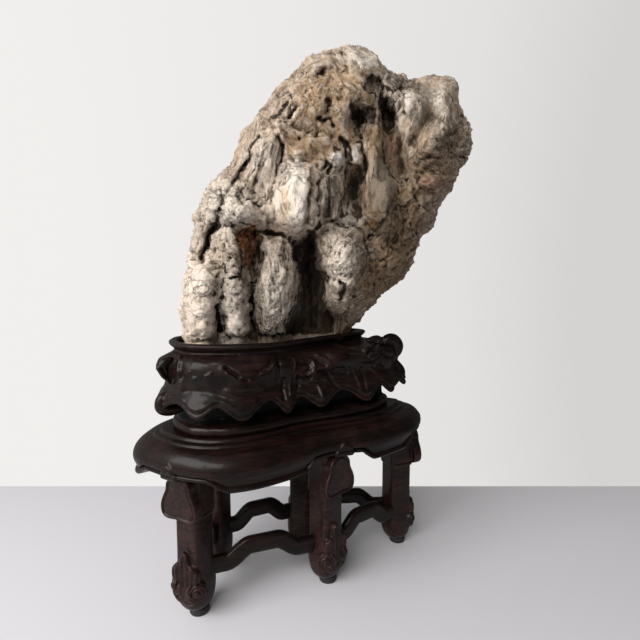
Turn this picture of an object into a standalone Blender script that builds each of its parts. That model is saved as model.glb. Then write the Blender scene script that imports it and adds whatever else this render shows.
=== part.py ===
"""Scholar's stone on its carved base and five-legged table stand.

Metres, +Z up. X runs along the table, the front faces -Y and the feet stand on
Z = 0. The origin is under the middle of the whole object.
"""
import math

import bmesh
import bpy
import numpy as np
from mathutils import Matrix, Vector, noise

MM = 0.001
GAP = 0.3                       # clearance between pieces that touch, mm
# All sizes below are in millimetres, measured from the floor under the table's middle.
TABLE_MIDDLE = (-44.0, 1.45)    # where that point lies in the object's own frame

# ---- feet and legs -----------------------------------------------------------
# name: (x, y, direction the leg faces, degrees anticlockwise from +X)
LEGS = {
    "front_left": (-99.5, -26, 221),
    "front_middle": (21, -33, 290),
    "right_end": (119, -4, 0),
    "back_middle": (21, 34, 70),
    "back_left": (-72, 30, 139),
}
PAD_SHIFT = (2.0, -1.0)         # the pads stand a little off the legs' middles
PAD_RADIUS = 8.5
PAD_HEIGHT = 6.0
LEG_TOP = 131.0
SHAFT_HALF = 11.8
CAP_HALF = 13.2
CAP_BOTTOM = 90.0
# (height, half width, squareness) up the leg: neck, swollen foot, shaft, cap
LEG_SECTIONS = [
    (PAD_HEIGHT + GAP, 9.6, 2.4),
    (12, 13.2, 2.8),
    (24, 14.6, 3.6),
    (40, 12.6, 5.0),
    (53, SHAFT_HALF, 10.0),
    (CAP_BOTTOM - 2.5, SHAFT_HALF, 10.0),
    (CAP_BOTTOM, CAP_HALF, 10.0),
    (LEG_TOP, CAP_HALF, 10.0),
]
# directions of the points round a shaft's section, degrees: three to each quarter
LEG_STATIONS = [quarter + turn for quarter in (0, 90, 180, 270) for turn in (0, 40, 50)]
# cloud-shaped panel on the leg's outer face: half outline (half width, height)
PANEL_HALF_OUTLINE = [(0, 92), (12, 91.5), (17.5, 94.5), (19, 101), (17.5, 108),
                      (13.6, 116), (12.2, 123), (7.5, 128), (0, 130.6)]
PANEL_THICKNESS = 8.0
SCROLL_RADIUS = 8.4
SCROLL_HALF_LENGTH = 15.2
SCROLL_HEIGHT = 21.0
SCROLL_OUT = 7.2
LEAF_HALF_OUTLINE = [(0, 18), (9, 20), (10, 31), (7, 41), (7.5, 48), (4, 55), (0, 60)]
LEAF_THICKNESS = 4.0

# ---- stretchers --------------------------------------------------------------
STRETCHER_LOW = 39.0            # height of the bar's middle line by the legs
STRETCHER_HIGH = 50.5           # and along its raised middle
STRETCHER_HALF_WIDTH = 4.4
STRETCHER_FLAT = 3.6            # half height of the flat part of its side
STRETCHERS = [
    ("front_left", "front_middle"),
    ("front_middle", "right_end"),
    ("back_middle", "right_end"),
    ("back_left", "back_middle"),
    ("front_left", "back_left"),
]
# where bars share the right leg's inner face, each keeps to its own side of it
SIDE_SHIFT = {("front_middle", "right_end"): -5.5, ("back_middle", "right_end"): 5.5}
# the bar's rise: (share of the way between legs, share of the rise)
HUMP = [(0.0, 0.0), (0.25, 0.0), (0.38, 1.0)]

# ---- table top ---------------------------------------------------------------
# half outline of the ledge, right end to left end; the back mirrors the front
LEDGE_HALF = [(128, 0), (121, -13), (104, -26), (84, -36), (58, -42.5), (22, -43),
              (-8, -46), (-35, -54), (-62, -58), (-90, -53), (-110, -38), (-123, -18),
              (-129, 0)]
# (offset outside the ledge, height) down the edge: steps, cushion, bead, underside
TOP_SECTIONS = [
    (-6.5, 159.0),
    (-5.0, 156.5),
    (0.0, 156.0),
    (2.0, 153.5),
    (9.5, 151.5),
    (15.5, 146.0),
    (17.8, 139.0),
    (15.0, 130.0),
]
TOP_STATIONS = 52
CUSP_DEPTH = 3.5                # how far the cushion draws in above each leg
CUSP_WIDTH = 14.0
END_SWELL = 4.0                 # how much further the cushion stands out at the right end
UNDERSIDE = LEG_TOP + GAP
APRON_DROP = 8.5                # how far the apron hangs between legs
APRON_CLEAR = 27.0              # from a leg's middle to where the apron starts to drop
APRON_RAMP = 12.0

# ---- carved base -------------------------------------------------------------
BASE_BOTTOM = 159.0 + GAP
PLINTH_HALF = [(105, 0), (97, -13), (75, -27), (45, -34), (15, -36), (-15, -39),
               (-45, -46), (-75, -46), (-98, -34), (-108, -17), (-111, 0)]
SKIRT_HALF = [(128, 0), (120, -17), (97, -32), (62, -43), (25, -47), (-15, -50),
              (-50, -57), (-85, -55), (-110, -40), (-123, -20), (-127, 0)]
RIM = [(100, 16), (86, 3), (60, -8), (32, -20), (0, -35), (-28, -46), (-52, -48),
       (-80, -41), (-104, -26), (-114, 3), (-107, 32), (-85, 46), (-50, 50),
       (-10, 48), (35, 44), (78, 36)]
SOCKET_FLOOR = 225.0
RIM_TOP = 236.0
# middle of each hanging leaf lobe: (x, y, half width, drop)
LEAF_LOBES = [
    (-126, -11, 13, 9), (-99, -48, 12, 10), (-63, -57, 14, 13), (-22, -51, 9, 13),
    (11, -48, 13, 12), (60, -43, 14, 13), (94, -34, 8, 10), (120, -17, 8, 8),
    (126, 8, 9, 8), (102, 31, 12, 10), (66, 43, 13, 12), (22, 47, 12, 11),
    (-22, 51, 12, 12), (-66, 57, 13, 12), (-108, 43, 13, 10),
]
LOBE_EDGE = 187.0
# bosses of the folded leaf: (x, y, height, reach, swell)
BOSSES = [
    (-126, -4, 217, 13, 9), (-100, -45, 214, 16, 2), (-60, -57, 206, 16, 5),
    (-36, -54, 216, 12, 4), (-18, -50, 212, 13, 5), (8, -48, 204, 14, 5),
    (30, -46, 217, 15, 8), (66, -40, 221, 17, 10), (98, -28, 212, 13, 6),
    (126, -6, 217, 14, 10), (62, 42, 214, 18, 7), (10, 47, 208, 18, 6),
    (-50, 55, 214, 18, 6), (-98, 48, 208, 16, 5),
]
BASE_STATIONS = 72

# ---- stone -------------------------------------------------------------------
# The stone is shaped on sight lines from one viewpoint, so that every form below is
# given where it crosses the upright plane through the table's long axis: (x, z).
VIEWPOINT = (-146, -405, 289)
STONE_FOOT = SOCKET_FLOOR + GAP
STONE_OUTLINE = [
    (-101, 216), (-103, 243), (-105, 266), (-102, 279), (-99, 294), (-94, 314), (-91, 334),
    (-87, 354), (-78, 368), (-71, 375), (-65, 386), (-58, 389), (-52, 403), (-46, 421),
    (-36, 434), (-25, 447), (-15, 459), (-5, 473), (6, 483), (12, 494), (18, 501),
    (31, 504), (45, 510), (56, 515), (67, 517), (84, 514), (94, 509), (99, 501),
    (104, 499), (120, 501), (123, 497), (121, 492), (134, 497), (145, 502), (169, 506),
    (186, 509), (194, 502), (194, 488), (200, 477), (206, 466), (213, 457), (216, 443),
    (211, 426), (197, 409), (192, 395), (184, 385), (173, 377), (168, 360), (162, 347),
    (146, 330), (140, 320), (138, 305), (129, 294), (108, 278), (92, 264), (77, 257),
    (74, 247), (63, 238), (60, 216),
]
EDGE_HALF = 7.0                 # half thickness at the outline
ROUNDING = 40.0                 # how far in from the outline the faces reach full depth
# (height, depth in front of the plane, depth behind it)
FACE_DEPTHS = [(216, 22, 36), (250, 25, 40), (300, 33, 46), (350, 41, 50), (400, 43, 50),
               (450, 39, 45), (490, 31, 36), (521, 24, 28)]
# lobes that swell and hollows that sink: (x, z, half width, half height, lean, height)
# lean is in degrees from upright, anticlockwise; a negative height is a hollow
FRONT_FORMS = [
    (-86, 266, 20, 50, 3, 15),      # left column
    (-78, 354, 15, 22, -14, 13),    # left shoulder
    (-53, 280, 15, 54, 2, 18),      # second pillar
    (-46, 350, 22, 13, -6, 15),     # shelf of lumps above it
    (-13, 280, 22, 47, 3, 20),      # third pillar
    (-24, 410, 22, 56, -30, 10),    # upper left flank
    (12, 363, 34, 38, -6, 27),      # brow
    (42, 372, 13, 30, -4, 9),       # folds at the brow's right
    (57, 304, 25, 33, 4, 31),       # hanging lobe
    (66, 274, 23, 17, 24, 12),      # its lower end
    (103, 364, 16, 34, -8, 20),     # tongue
    (90, 412, 10, 30, -4, 12),      # root of the tongue
    (50, 476, 42, 28, -12, 13),     # crown
    (22, 438, 24, 24, -20, 7),
    (146, 456, 18, 48, 34, 12),     # right wing
    (180, 466, 18, 36, 14, 14),
    (172, 404, 26, 16, 22, 9),
    (132, 370, 24, 38, 16, 10),     # lower right flank
    (112, 306, 30, 26, 26, 9),
    (19, 290, 12, 38, 2, -54),      # deep cavity
    (26, 240, 36, 20, 0, -38),      # recess under the hanging lobe
    (-38, 314, 8, 19, 6, -28),      # rust-coloured cavity
    (67, 370, 9, 26, 6, -27),       # hollow beside the tongue
    (70, 450, 8, 11, 0, -24),       # square cavity in the crown
    (104, 454, 8, 20, 4, -32),      # crevice between crown and wing
    (92, 482, 7, 8, 0, -14),
    (58, 279, 5, 9, 0, -16),        # keyhole pit
    (120, 420, 8, 32, 18, -15),
]
BACK_FORMS = [
    (-70, 296, 24, 60, 6, 18), (-15, 266, 26, 50, -6, 14), (-30, 346, 34, 36, -30, 16),
    (36, 416, 36, 50, -24, 20), (60, 326, 26, 46, 14, 16), (110, 376, 28, 50, 20, 16),
    (160, 456, 34, 34, 10, 14), (60, 488, 34, 22, 0, 10), (-48, 406, 20, 40, -30, 9),
    (-42, 296, 11, 44, 0, -26), (12, 352, 13, 40, -16, -28), (86, 416, 10, 50, 12, -26),
    (96, 296, 16, 28, 18, -20), (128, 426, 12, 30, 20, -18),
]
# narrow clefts and sharp ridges: (points, half width, height); negative heights cut in
FRONT_CUTS = [
    ([(-66, 372), (-70, 342), (-84, 322), (-90, 306)], 5, -13),
    ([(-30, 450), (-42, 420), (-56, 388)], 5, -10),
    ([(-4, 466), (-18, 444), (-24, 426)], 4, -9),
    ([(0, 421), (-8, 396), (-14, 376)], 4, -7),
    ([(-69, 320), (-70, 276), (-71, 234)], 5, -13),
    ([(-35, 296), (-34, 270), (-36, 234)], 5, -14),
    ([(-64, 334), (-40, 334), (-24, 330), (0, 326), (22, 327)], 6, -11),
    ([(52, 400), (48, 380), (40, 352), (26, 332)], 5, -10),
    ([(78, 436), (76, 406), (74, 388)], 5, -9),
    ([(41, 456), (39, 444)], 4, -10),
    ([(30, 486), (52, 486)], 5, -8),
    ([(118, 340), (116, 372), (122, 396)], 6, -9),
    ([(158, 464), (134, 432), (122, 400)], 8, -11),
    ([(196, 466), (188, 436), (176, 420)], 6, -9),
    ([(140, 400), (180, 412)], 5, -9),
    ([(86, 338), (112, 332), (136, 318)], 7, -9),
    ([(-46, 448), (-62, 396)], 4, 6),
    ([(-12, 436), (-30, 396), (-44, 368)], 4, 7),
    ([(6, 408), (-2, 376), (0, 348)], 4, 7),
]
BACK_CUTS = [
    ([(-84, 336), (-60, 326), (-50, 356)], 6, -10),
    ([(20, 456), (48, 436), (66, 396)], 6, -10),
    ([(60, 376), (84, 356), (110, 346)], 6, -10),
    ([(130, 486), (140, 456), (170, 426)], 6, -9),
    ([(-10, 466), (-30, 426), (-52, 392)], 5, 7),
    ([(-20, 246), (-10, 296), (-16, 326)], 5, -9),
    ([(100, 326), (120, 306)], 5, 7),
    ([(30, 236), (40, 276)], 6, -9),
]
BASE_VOXEL = 4.2
STONE_TRIANGLES = 3400

MATERIALS = {                   # name: (colour, roughness)
    "limestone": ((0.46, 0.40, 0.34), 0.85),
    "dark_hardwood": ((0.035, 0.020, 0.015), 0.32),
    "black_pad": ((0.010, 0.010, 0.010), 0.7),
}


# ---- helpers -----------------------------------------------------------------
def clear_scene():
    for thing in list(bpy.data.objects):
        bpy.data.objects.remove(thing, do_unlink=True)


def make_collection(name):
    collection = bpy.data.collections.new(name)
    bpy.context.scene.collection.children.link(collection)
    return collection


def make_materials():
    made = {}
    for name, (colour, roughness) in MATERIALS.items():
        material = bpy.data.materials.new(name)
        material.use_nodes = True
        shader = material.node_tree.nodes["Principled BSDF"]
        shader.inputs["Base Color"].default_value = (*colour, 1)
        shader.inputs["Roughness"].default_value = roughness
        shader.inputs["Metallic"].default_value = 0
        material.diffuse_color = (*colour, 1)
        made[name] = material
    return made


def add_object(name, mesh, material, collection):
    mesh.materials.clear()
    mesh.materials.append(material)
    thing = bpy.data.objects.new(name, mesh)
    collection.objects.link(thing)
    return thing


def mesh_from(bm, name):
    bmesh.ops.recalc_face_normals(bm, faces=bm.faces[:])
    mesh = bpy.data.meshes.new(name)
    bm.to_mesh(mesh)
    bm.free()
    mesh.shade_smooth()
    mesh.set_sharp_from_angle(angle=math.radians(32))
    return mesh


def evaluated_copy(thing, name):
    """The object's mesh as its modifiers leave it, with its place applied."""
    graph = bpy.context.evaluated_depsgraph_get()
    mesh = bpy.data.meshes.new_from_object(thing.evaluated_get(graph))
    mesh.transform(thing.matrix_world)
    mesh.name = name
    return mesh


def drop(thing):
    bpy.data.objects.remove(thing, do_unlink=True)


def stack_of_rings(rings):
    """Closed solid that joins equal rings of points, flat at its first and last."""
    count = len(rings[0])
    bm = bmesh.new()
    station = bm.verts.layers.int.new("station")
    bmesh.ops.create_circle(bm, segments=count, radius=1)
    bm.verts.ensure_lookup_table()
    for index, vert in enumerate(bm.verts):
        vert[station] = index
        vert.co = rings[0][index]
    edges = bm.edges[:]
    bmesh.ops.edgeloop_fill(bm, edges=edges)
    for ring in rings[1:]:
        grown = bmesh.ops.extrude_edge_only(bm, edges=edges)["geom"]
        edges = [item for item in grown if isinstance(item, bmesh.types.BMEdge)]
        for item in grown:
            if isinstance(item, bmesh.types.BMVert):
                item.co = ring[item[station]]
    bmesh.ops.edgeloop_fill(bm, edges=edges)
    return bm


def smooth_closed(points, steps=12):
    """A closed Catmull-Rom curve through the points."""
    p = np.array(points, float)
    before = np.roll(p, 1, 0)
    after = np.roll(p, -1, 0)
    later = np.roll(p, -2, 0)
    t = (np.arange(steps) / steps)[:, None, None]
    curve = 0.5 * (2 * p + (after - before) * t
                   + (2 * before - 5 * p + 4 * after - later) * t ** 2
                   + (3 * p - before - 3 * after + later) * t ** 3)
    return curve.transpose(1, 0, 2).reshape(-1, 2)


def mirrored(half):
    return half + [(x, -y) for x, y in half[-2:0:-1]]


class Outline:
    """A plan outline read at even stations round a long oval."""

    STRETCH = 2.0
    MIDDLE = np.array((-6.0, 0.0))

    def __init__(self, points, stations):
        curve = smooth_closed(points) - self.MIDDLE
        angle = np.unwrap(np.arctan2(curve[:, 1], curve[:, 0]))
        radius = np.hypot(curve[:, 0], curve[:, 1])
        if angle[-1] < angle[0]:
            angle, radius = angle[::-1], radius[::-1]
        turn = 2 * math.pi
        angle = np.concatenate([angle - turn, angle, angle + turn])
        radius = np.tile(radius, 3)
        even = np.arange(stations) * turn / stations
        aim = np.arctan2(np.sin(even), self.STRETCH * np.cos(even)) % turn
        reach = np.interp(aim, angle, radius)
        self.points = np.stack([reach * np.cos(aim), reach * np.sin(aim)], 1) + self.MIDDLE
        along = np.roll(self.points, -1, 0) - np.roll(self.points, 1, 0)
        along /= np.linalg.norm(along, axis=1)[:, None]
        self.outward = np.stack([along[:, 1], -along[:, 0]], 1)

    def ring(self, offset, height):
        """Points at an offset outside the outline; both may vary by station."""
        flat = (self.points + self.outward * np.reshape(offset, (-1, 1))) * MM
        high = np.broadcast_to(np.asarray(height, float) * MM, len(flat))
        return [Vector((x, y, z)) for (x, y), z in zip(flat, high)]

    def nearness(self, x, y, width):
        """1 at the station nearest a place, fading to 0 about a width away."""
        gap = np.linalg.norm(self.points - (x, y), axis=1)
        return np.exp(-((gap - gap.min()) / width) ** 2)


# ---- stand -------------------------------------------------------------------
def stand_at(thing, place):
    """Local X points outward from the table, local Y along its edge."""
    x, y, facing = place
    thing.location = Vector((x, y, 0)) * MM
    thing.rotation_euler.z = math.radians(facing)


def squared_ring(half, squareness, height):
    ring = []
    for degrees in LEG_STATIONS:
        angle = math.radians(degrees)
        c, s = math.cos(angle), math.sin(angle)
        reach = (abs(c) ** squareness + abs(s) ** squareness) ** (-1 / squareness)
        ring.append(Vector((c * reach * half, s * reach * half, height)) * MM)
    return ring


def plate(name, half_outline, thickness, out):
    """An upright plate with the given half outline, mirrored, standing at X = out."""
    outline = half_outline + [(-w, z) for w, z in half_outline[-2:0:-1]]
    curve = bpy.data.curves.new(name, "CURVE")
    curve.dimensions = "2D"
    curve.fill_mode = "BOTH"
    curve.extrude = thickness * MM / 2
    spline = curve.splines.new("POLY")
    spline.points.add(len(outline) - 1)
    for point, (w, z) in zip(spline.points, outline):
        point.co = (w * MM, z * MM, 0, 1)
    spline.use_cyclic_u = True
    flat = bpy.data.objects.new(name, curve)
    bpy.context.scene.collection.objects.link(flat)
    upright = Matrix(((0, 0, 1, out * MM), (1, 0, 0, 0), (0, 1, 0, 0), (0, 0, 0, 1)))
    flat.matrix_world = upright
    bpy.context.view_layer.update()
    bm = bmesh.new()
    bm.from_mesh(evaluated_copy(flat, name))
    bmesh.ops.remove_doubles(bm, verts=bm.verts[:], dist=0.00001)
    drop(flat)
    return mesh_from(bm, name)


def leg_mesh():
    """One leg at the origin, facing +X: shaft, cap panel, scroll foot and its leaf."""
    bm = stack_of_rings([squared_ring(half, squareness, height)
                         for height, half, squareness in LEG_SECTIONS])
    shaft = bpy.data.objects.new("shaft", mesh_from(bm, "shaft"))
    bpy.context.scene.collection.objects.link(shaft)
    additions = [
        plate("panel", PANEL_HALF_OUTLINE, PANEL_THICKNESS, CAP_HALF + PANEL_THICKNESS / 2 - 1),
        plate("leaf", LEAF_HALF_OUTLINE, LEAF_THICKNESS, SHAFT_HALF + 2.2),
    ]
    bm = bmesh.new()
    bmesh.ops.create_cone(bm, cap_ends=True, segments=12, radius1=SCROLL_RADIUS * MM,
                          radius2=SCROLL_RADIUS * MM, depth=2 * SCROLL_HALF_LENGTH * MM)
    bmesh.ops.rotate(bm, verts=bm.verts[:], matrix=Matrix.Rotation(math.pi / 2, 3, "X"))
    bmesh.ops.translate(bm, verts=bm.verts[:], vec=Vector((SCROLL_OUT, 0, SCROLL_HEIGHT)) * MM)
    additions.append(mesh_from(bm, "scroll"))
    for mesh in additions:
        piece = bpy.data.objects.new(mesh.name, mesh)
        bpy.context.scene.collection.objects.link(piece)
        union = shaft.modifiers.new("join", "BOOLEAN")
        union.operation = "UNION"
        union.solver = "EXACT"
        union.object = piece
        bpy.context.view_layer.update()
        joined = evaluated_copy(shaft, "leg")
        shaft.modifiers.clear()
        shaft.data = joined
        drop(piece)
    mesh = shaft.data
    drop(shaft)
    return mesh


def pad_mesh():
    bm = bmesh.new()
    bmesh.ops.create_cone(bm, cap_ends=True, segments=12, radius1=PAD_RADIUS * MM,
                          radius2=PAD_RADIUS * MM, depth=PAD_HEIGHT * MM)
    bmesh.ops.translate(bm, verts=bm.verts[:], vec=(0, 0, PAD_HEIGHT / 2 * MM))
    return mesh_from(bm, "foot_pad")


def build_legs(wood, black, collection):
    """Five legs that share one mesh, each on a pad of its own."""
    shared_leg = leg_mesh()
    shared_pad = pad_mesh()
    for name, place in LEGS.items():
        leg = add_object("leg_" + name, shared_leg, wood, collection)
        stand_at(leg, place)
        pad = add_object("foot_pad_" + name, shared_pad, black, collection)
        pad.location = Vector((place[0] + PAD_SHIFT[0], place[1] + PAD_SHIFT[1], 0)) * MM


def hump_share(t):
    """Share of the rise at a share t of the way along a stretcher."""
    t = min(t, 1 - t)
    spots, rises = zip(*HUMP)
    return float(np.interp(t, spots, rises))


def build_stretcher(start, end, wood, collection, cutters):
    a, b = Vector(LEGS[start][:2]), Vector(LEGS[end][:2])
    b.y += SIDE_SHIFT.get((start, end), 0)
    shares = sorted({share for spot, _ in HUMP for share in (spot, 1 - spot)})
    curve = bpy.data.curves.new("bar", "CURVE")
    curve.dimensions = "3D"
    curve.extrude = STRETCHER_FLAT * MM
    curve.bevel_depth = STRETCHER_HALF_WIDTH * MM
    curve.bevel_resolution = 0
    curve.use_fill_caps = True
    curve.twist_mode = "Z_UP"
    spline = curve.splines.new("POLY")
    spline.points.add(len(shares) - 1)
    for point, share in zip(spline.points, shares):
        flat = a.lerp(b, share)
        height = STRETCHER_LOW + hump_share(share) * (STRETCHER_HIGH - STRETCHER_LOW)
        point.co = (flat.x * MM, flat.y * MM, height * MM, 1)
    bar = bpy.data.objects.new("bar", curve)
    bpy.context.scene.collection.objects.link(bar)
    bpy.context.view_layer.update()
    bm = bmesh.new()
    bm.from_mesh(evaluated_copy(bar, "bar"))
    bmesh.ops.remove_doubles(bm, verts=bm.verts[:], dist=0.00001)
    drop(bar)
    name = "stretcher_%s_to_%s" % (start, end)
    piece = add_object(name, mesh_from(bm, name), wood, collection)
    for leg in (start, end):
        cut = piece.modifiers.new("fit_to_" + leg, "BOOLEAN")
        cut.operation = "DIFFERENCE"
        cut.solver = "EXACT"
        cut.object = cutters[leg]


def shaft_cutters(collection):
    """Each leg's shaft grown by the clearance, which trims the stretchers."""
    rings = [squared_ring(half + GAP, squareness, height)
             for height, half, squareness in LEG_SECTIONS]
    shared = mesh_from(stack_of_rings(rings), "shaft_room")
    made = {}
    for name, place in LEGS.items():
        cutter = bpy.data.objects.new("cutter_" + name, shared)
        stand_at(cutter, place)
        cutter.hide_render = True
        cutter.display_type = "WIRE"
        collection.objects.link(cutter)
        made[name] = cutter
    return made


def build_table_top(wood, collection):
    ledge = Outline(mirrored(LEDGE_HALF), TOP_STATIONS)
    cusp = np.zeros(TOP_STATIONS)
    drop_share = np.ones(TOP_STATIONS)
    for x, y, _ in LEGS.values():
        cusp = np.maximum(cusp, ledge.nearness(x, y, CUSP_WIDTH))
        far = np.linalg.norm(ledge.points - (x, y), axis=1)
        share = np.clip((far - APRON_CLEAR) / APRON_RAMP, 0, 1)
        drop_share = np.minimum(drop_share, share * share * (3 - 2 * share))
    apron_low = UNDERSIDE - drop_share * APRON_DROP
    swell = END_SWELL * ledge.nearness(LEDGE_HALF[0][0], 0, 40) - cusp * CUSP_DEPTH
    widest = max(offset for offset, _ in TOP_SECTIONS)
    rings = []
    for offset, height in TOP_SECTIONS:
        out = offset + swell * max(offset, 0) / widest
        rings.append(ledge.ring(out, np.maximum(height, apron_low + 5.0)))
    bead_out = 16.5 + swell
    rings.append(ledge.ring(bead_out, apron_low + 3.0 + 4.5 * drop_share))
    rings.append(ledge.ring(bead_out, apron_low + 1.0 + drop_share))
    rings.append(ledge.ring(bead_out - 3.5, apron_low))
    inner = 4.0 * drop_share + 9.0 * (1 - drop_share)
    rings.append(ledge.ring(inner, apron_low))
    rings.append(ledge.ring(inner - 2.0, UNDERSIDE))
    add_object("table_top", mesh_from(stack_of_rings(rings), "table_top"), wood, collection)


def build_carved_base(wood, collection):
    plinth = Outline(mirrored(PLINTH_HALF), BASE_STATIONS)
    skirt = Outline(mirrored(SKIRT_HALF), BASE_STATIONS)
    rim = Outline(RIM, BASE_STATIONS)
    lobe = np.zeros(BASE_STATIONS)
    drop_by = np.zeros(BASE_STATIONS)
    for x, y, width, depth in LEAF_LOBES:
        near = skirt.nearness(x, y, width)
        lobe = np.maximum(lobe, near)
        drop_by = np.maximum(drop_by, near * depth)

    def swell(height):
        out = np.zeros(BASE_STATIONS)
        for x, y, z, reach, size in BOSSES:
            near = np.exp(-((skirt.points - (x, y)) ** 2).sum(1) / reach ** 2)
            out += size * near * math.exp(-((height - z) / (0.6 * reach)) ** 2)
        return out

    low = LOBE_EDGE - drop_by
    flare = 5.0 * lobe - 5.0
    rings = [
        rim.ring(-9.5, SOCKET_FLOOR),
        rim.ring(-6.5, RIM_TOP - 1.0),
        rim.ring(-2.5, RIM_TOP),
        rim.ring(0.0, RIM_TOP - 2.5),
        rim.ring(-5.5, RIM_TOP - 8.0),
        skirt.ring(-13.0 + swell(223), 223.0),
        skirt.ring(-10.0 + swell(214), 214.0),
        skirt.ring(-9.0 + swell(203), 203.0),
        skirt.ring(-5.0 + 0.5 * flare + swell(194), 193.5),
        skirt.ring(flare, low + 4.0),
        skirt.ring(flare - 1.0, low),
        skirt.ring(flare - 6.0, low + 4.5),
        plinth.ring(-4.0, 190.0),
        plinth.ring(-5.0, 171.0),
        plinth.ring(0.5, 167.0),
        plinth.ring(2.0, 163.0),
        plinth.ring(0.5, BASE_BOTTOM),
    ]
    add_object("carved_base", mesh_from(stack_of_rings(rings), "carved_base"), wood, collection)


# ---- stone -------------------------------------------------------------------
def gap_to_path(points, path, closed=False):
    """Distance from each point to a path of straight runs."""
    path = np.array(path, float)
    ends = np.roll(path, -1, 0) if closed else path[1:]
    starts = path if closed else path[:-1]
    nearest = np.full(len(points), 1e9)
    for start, end in zip(starts, ends):
        run = end - start
        share = np.clip(((points - start) @ run) / max(run @ run, 1e-9), 0, 1)
        gap = np.linalg.norm(points - start - share[:, None] * run, axis=1)
        nearest = np.minimum(nearest, gap)
    return nearest


def form_height(flat, forms, cuts):
    """Sum of the rounded forms and of the narrow clefts and ridges."""
    total = np.zeros(len(flat))
    for x, z, half_width, half_height, lean, height in forms:
        turn = math.radians(lean)
        dx, dz = flat[:, 0] - x, flat[:, 1] - z
        across = (dx * math.cos(turn) + dz * math.sin(turn)) / half_width
        upward = (-dx * math.sin(turn) + dz * math.cos(turn)) / half_height
        total += height * np.exp(-(across ** 2 + upward ** 2) ** 1.6)
    for path, half_width, height in cuts:
        total += height * np.exp(-(gap_to_path(flat, path) / half_width) ** 2)
    return total


def remeshed(mesh, voxel):
    thing = bpy.data.objects.new("clay", mesh)
    bpy.context.scene.collection.objects.link(thing)
    remesh = thing.modifiers.new("remesh", "REMESH")
    remesh.mode = "VOXEL"
    remesh.voxel_size = voxel * MM
    bpy.context.view_layer.update()
    result = evaluated_copy(thing, "stone")
    drop(thing)
    return result


def get_points(mesh):
    flat = np.empty(len(mesh.vertices) * 3)
    mesh.vertices.foreach_get("co", flat)
    return flat.reshape(-1, 3) / MM


def set_points(mesh, points):
    mesh.vertices.foreach_set("co", (points * MM).ravel())
    mesh.update()


def stone_blank():
    """The outline as a flat slab of even thickness, in the upright plane."""
    curve = bpy.data.curves.new("blank", "CURVE")
    curve.dimensions = "2D"
    curve.fill_mode = "BOTH"
    curve.extrude = 2 * EDGE_HALF * MM
    spline = curve.splines.new("POLY")
    spline.points.add(len(STONE_OUTLINE) - 1)
    for point, (x, z) in zip(spline.points, STONE_OUTLINE):
        point.co = (x * MM, z * MM, 0, 1)
    spline.use_cyclic_u = True
    flat = bpy.data.objects.new("blank", curve)
    bpy.context.scene.collection.objects.link(flat)
    flat.matrix_world = Matrix.Rotation(math.pi / 2, 4, "X")
    bpy.context.view_layer.update()
    bm = bmesh.new()
    bm.from_mesh(evaluated_copy(flat, "blank"))
    bmesh.ops.remove_doubles(bm, verts=bm.verts[:], dist=0.00001)
    drop(flat)
    return remeshed(mesh_from(bm, "blank"), BASE_VOXEL)


def shape_faces(mesh):
    """Swells the slab's two faces to the stone's depth and forms."""
    points = get_points(mesh)
    flat = points[:, [0, 2]]
    edge = gap_to_path(flat, STONE_OUTLINE, closed=True)
    rise = np.sqrt(1 - (1 - np.clip(edge / ROUNDING, 0, 1)) ** 2)
    level, front, back = np.array(FACE_DEPTHS, float).T
    side = np.clip(points[:, 1] / (2 * EDGE_HALF), -1, 1)
    in_front = side < 0
    depth = np.where(in_front, np.interp(flat[:, 1], level, front),
                     np.interp(flat[:, 1], level, back))
    forms = np.where(in_front, form_height(flat, FRONT_FORMS, FRONT_CUTS),
                     form_height(flat, BACK_FORMS, BACK_CUTS))
    inside = np.clip(edge / 14, 0, 1)
    half = np.maximum(EDGE_HALF + (depth - EDGE_HALF) * rise + forms * inside, 5.0)
    points[:, 1] = side * half
    set_points(mesh, points)


def roughen(mesh):
    """Uneven lumps and shelves, smaller than the named forms."""
    points = get_points(mesh)
    normals = np.empty(len(mesh.vertices) * 3)
    mesh.vertices.foreach_get("normal", normals)
    normals = normals.reshape(-1, 3)
    lift = np.empty(len(points))
    for index, (x, y, z) in enumerate(points):
        broad = noise.fractal(Vector((x / 30, y / 30, z / 44)), 1.0, 2.0, 3)
        shelf = noise.ridged_multi_fractal(Vector((x / 22 + 7, y / 26, z / 34)), 1.0, 2.0, 2, 1.0, 2.0)
        lift[index] = 2.6 * broad + 1.5 * (shelf - 1.2)
    set_points(mesh, points + normals * lift[:, None])


def on_sight_lines(points):
    """Carries each point from the upright plane along its line of sight."""
    eye = np.array(VIEWPOINT, float)
    scale = 1 + points[:, 1] / -eye[1]
    moved = points.copy()
    moved[:, 0] = eye[0] + scale * (points[:, 0] - eye[0])
    moved[:, 2] = eye[2] + scale * (points[:, 2] - eye[2])
    return moved


def keep_in_socket(points):
    """Draws the foot in so that it stands clear of the socket's wall."""
    rim = Outline(RIM, 180)
    wall = rim.points - rim.outward * (9.5 + 3 * GAP)
    middle = Outline.MIDDLE
    angle = np.arctan2(wall[:, 1], wall[:, 0] - middle[0])
    order = np.argsort(angle)
    reach = np.linalg.norm(wall - middle, axis=1)
    own = np.arctan2(points[:, 1], points[:, 0] - middle[0])
    most = np.interp(own, angle[order], reach[order], period=2 * math.pi)
    radius = np.linalg.norm(points[:, :2] - middle, axis=1)
    low = np.clip((RIM_TOP + 9 - points[:, 2]) / 7, 0, 1)
    shrink = 1 + low * (np.minimum(most / radius, 1) - 1)
    points[:, :2] = middle + (points[:, :2] - middle) * shrink[:, None]
    return points


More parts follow.
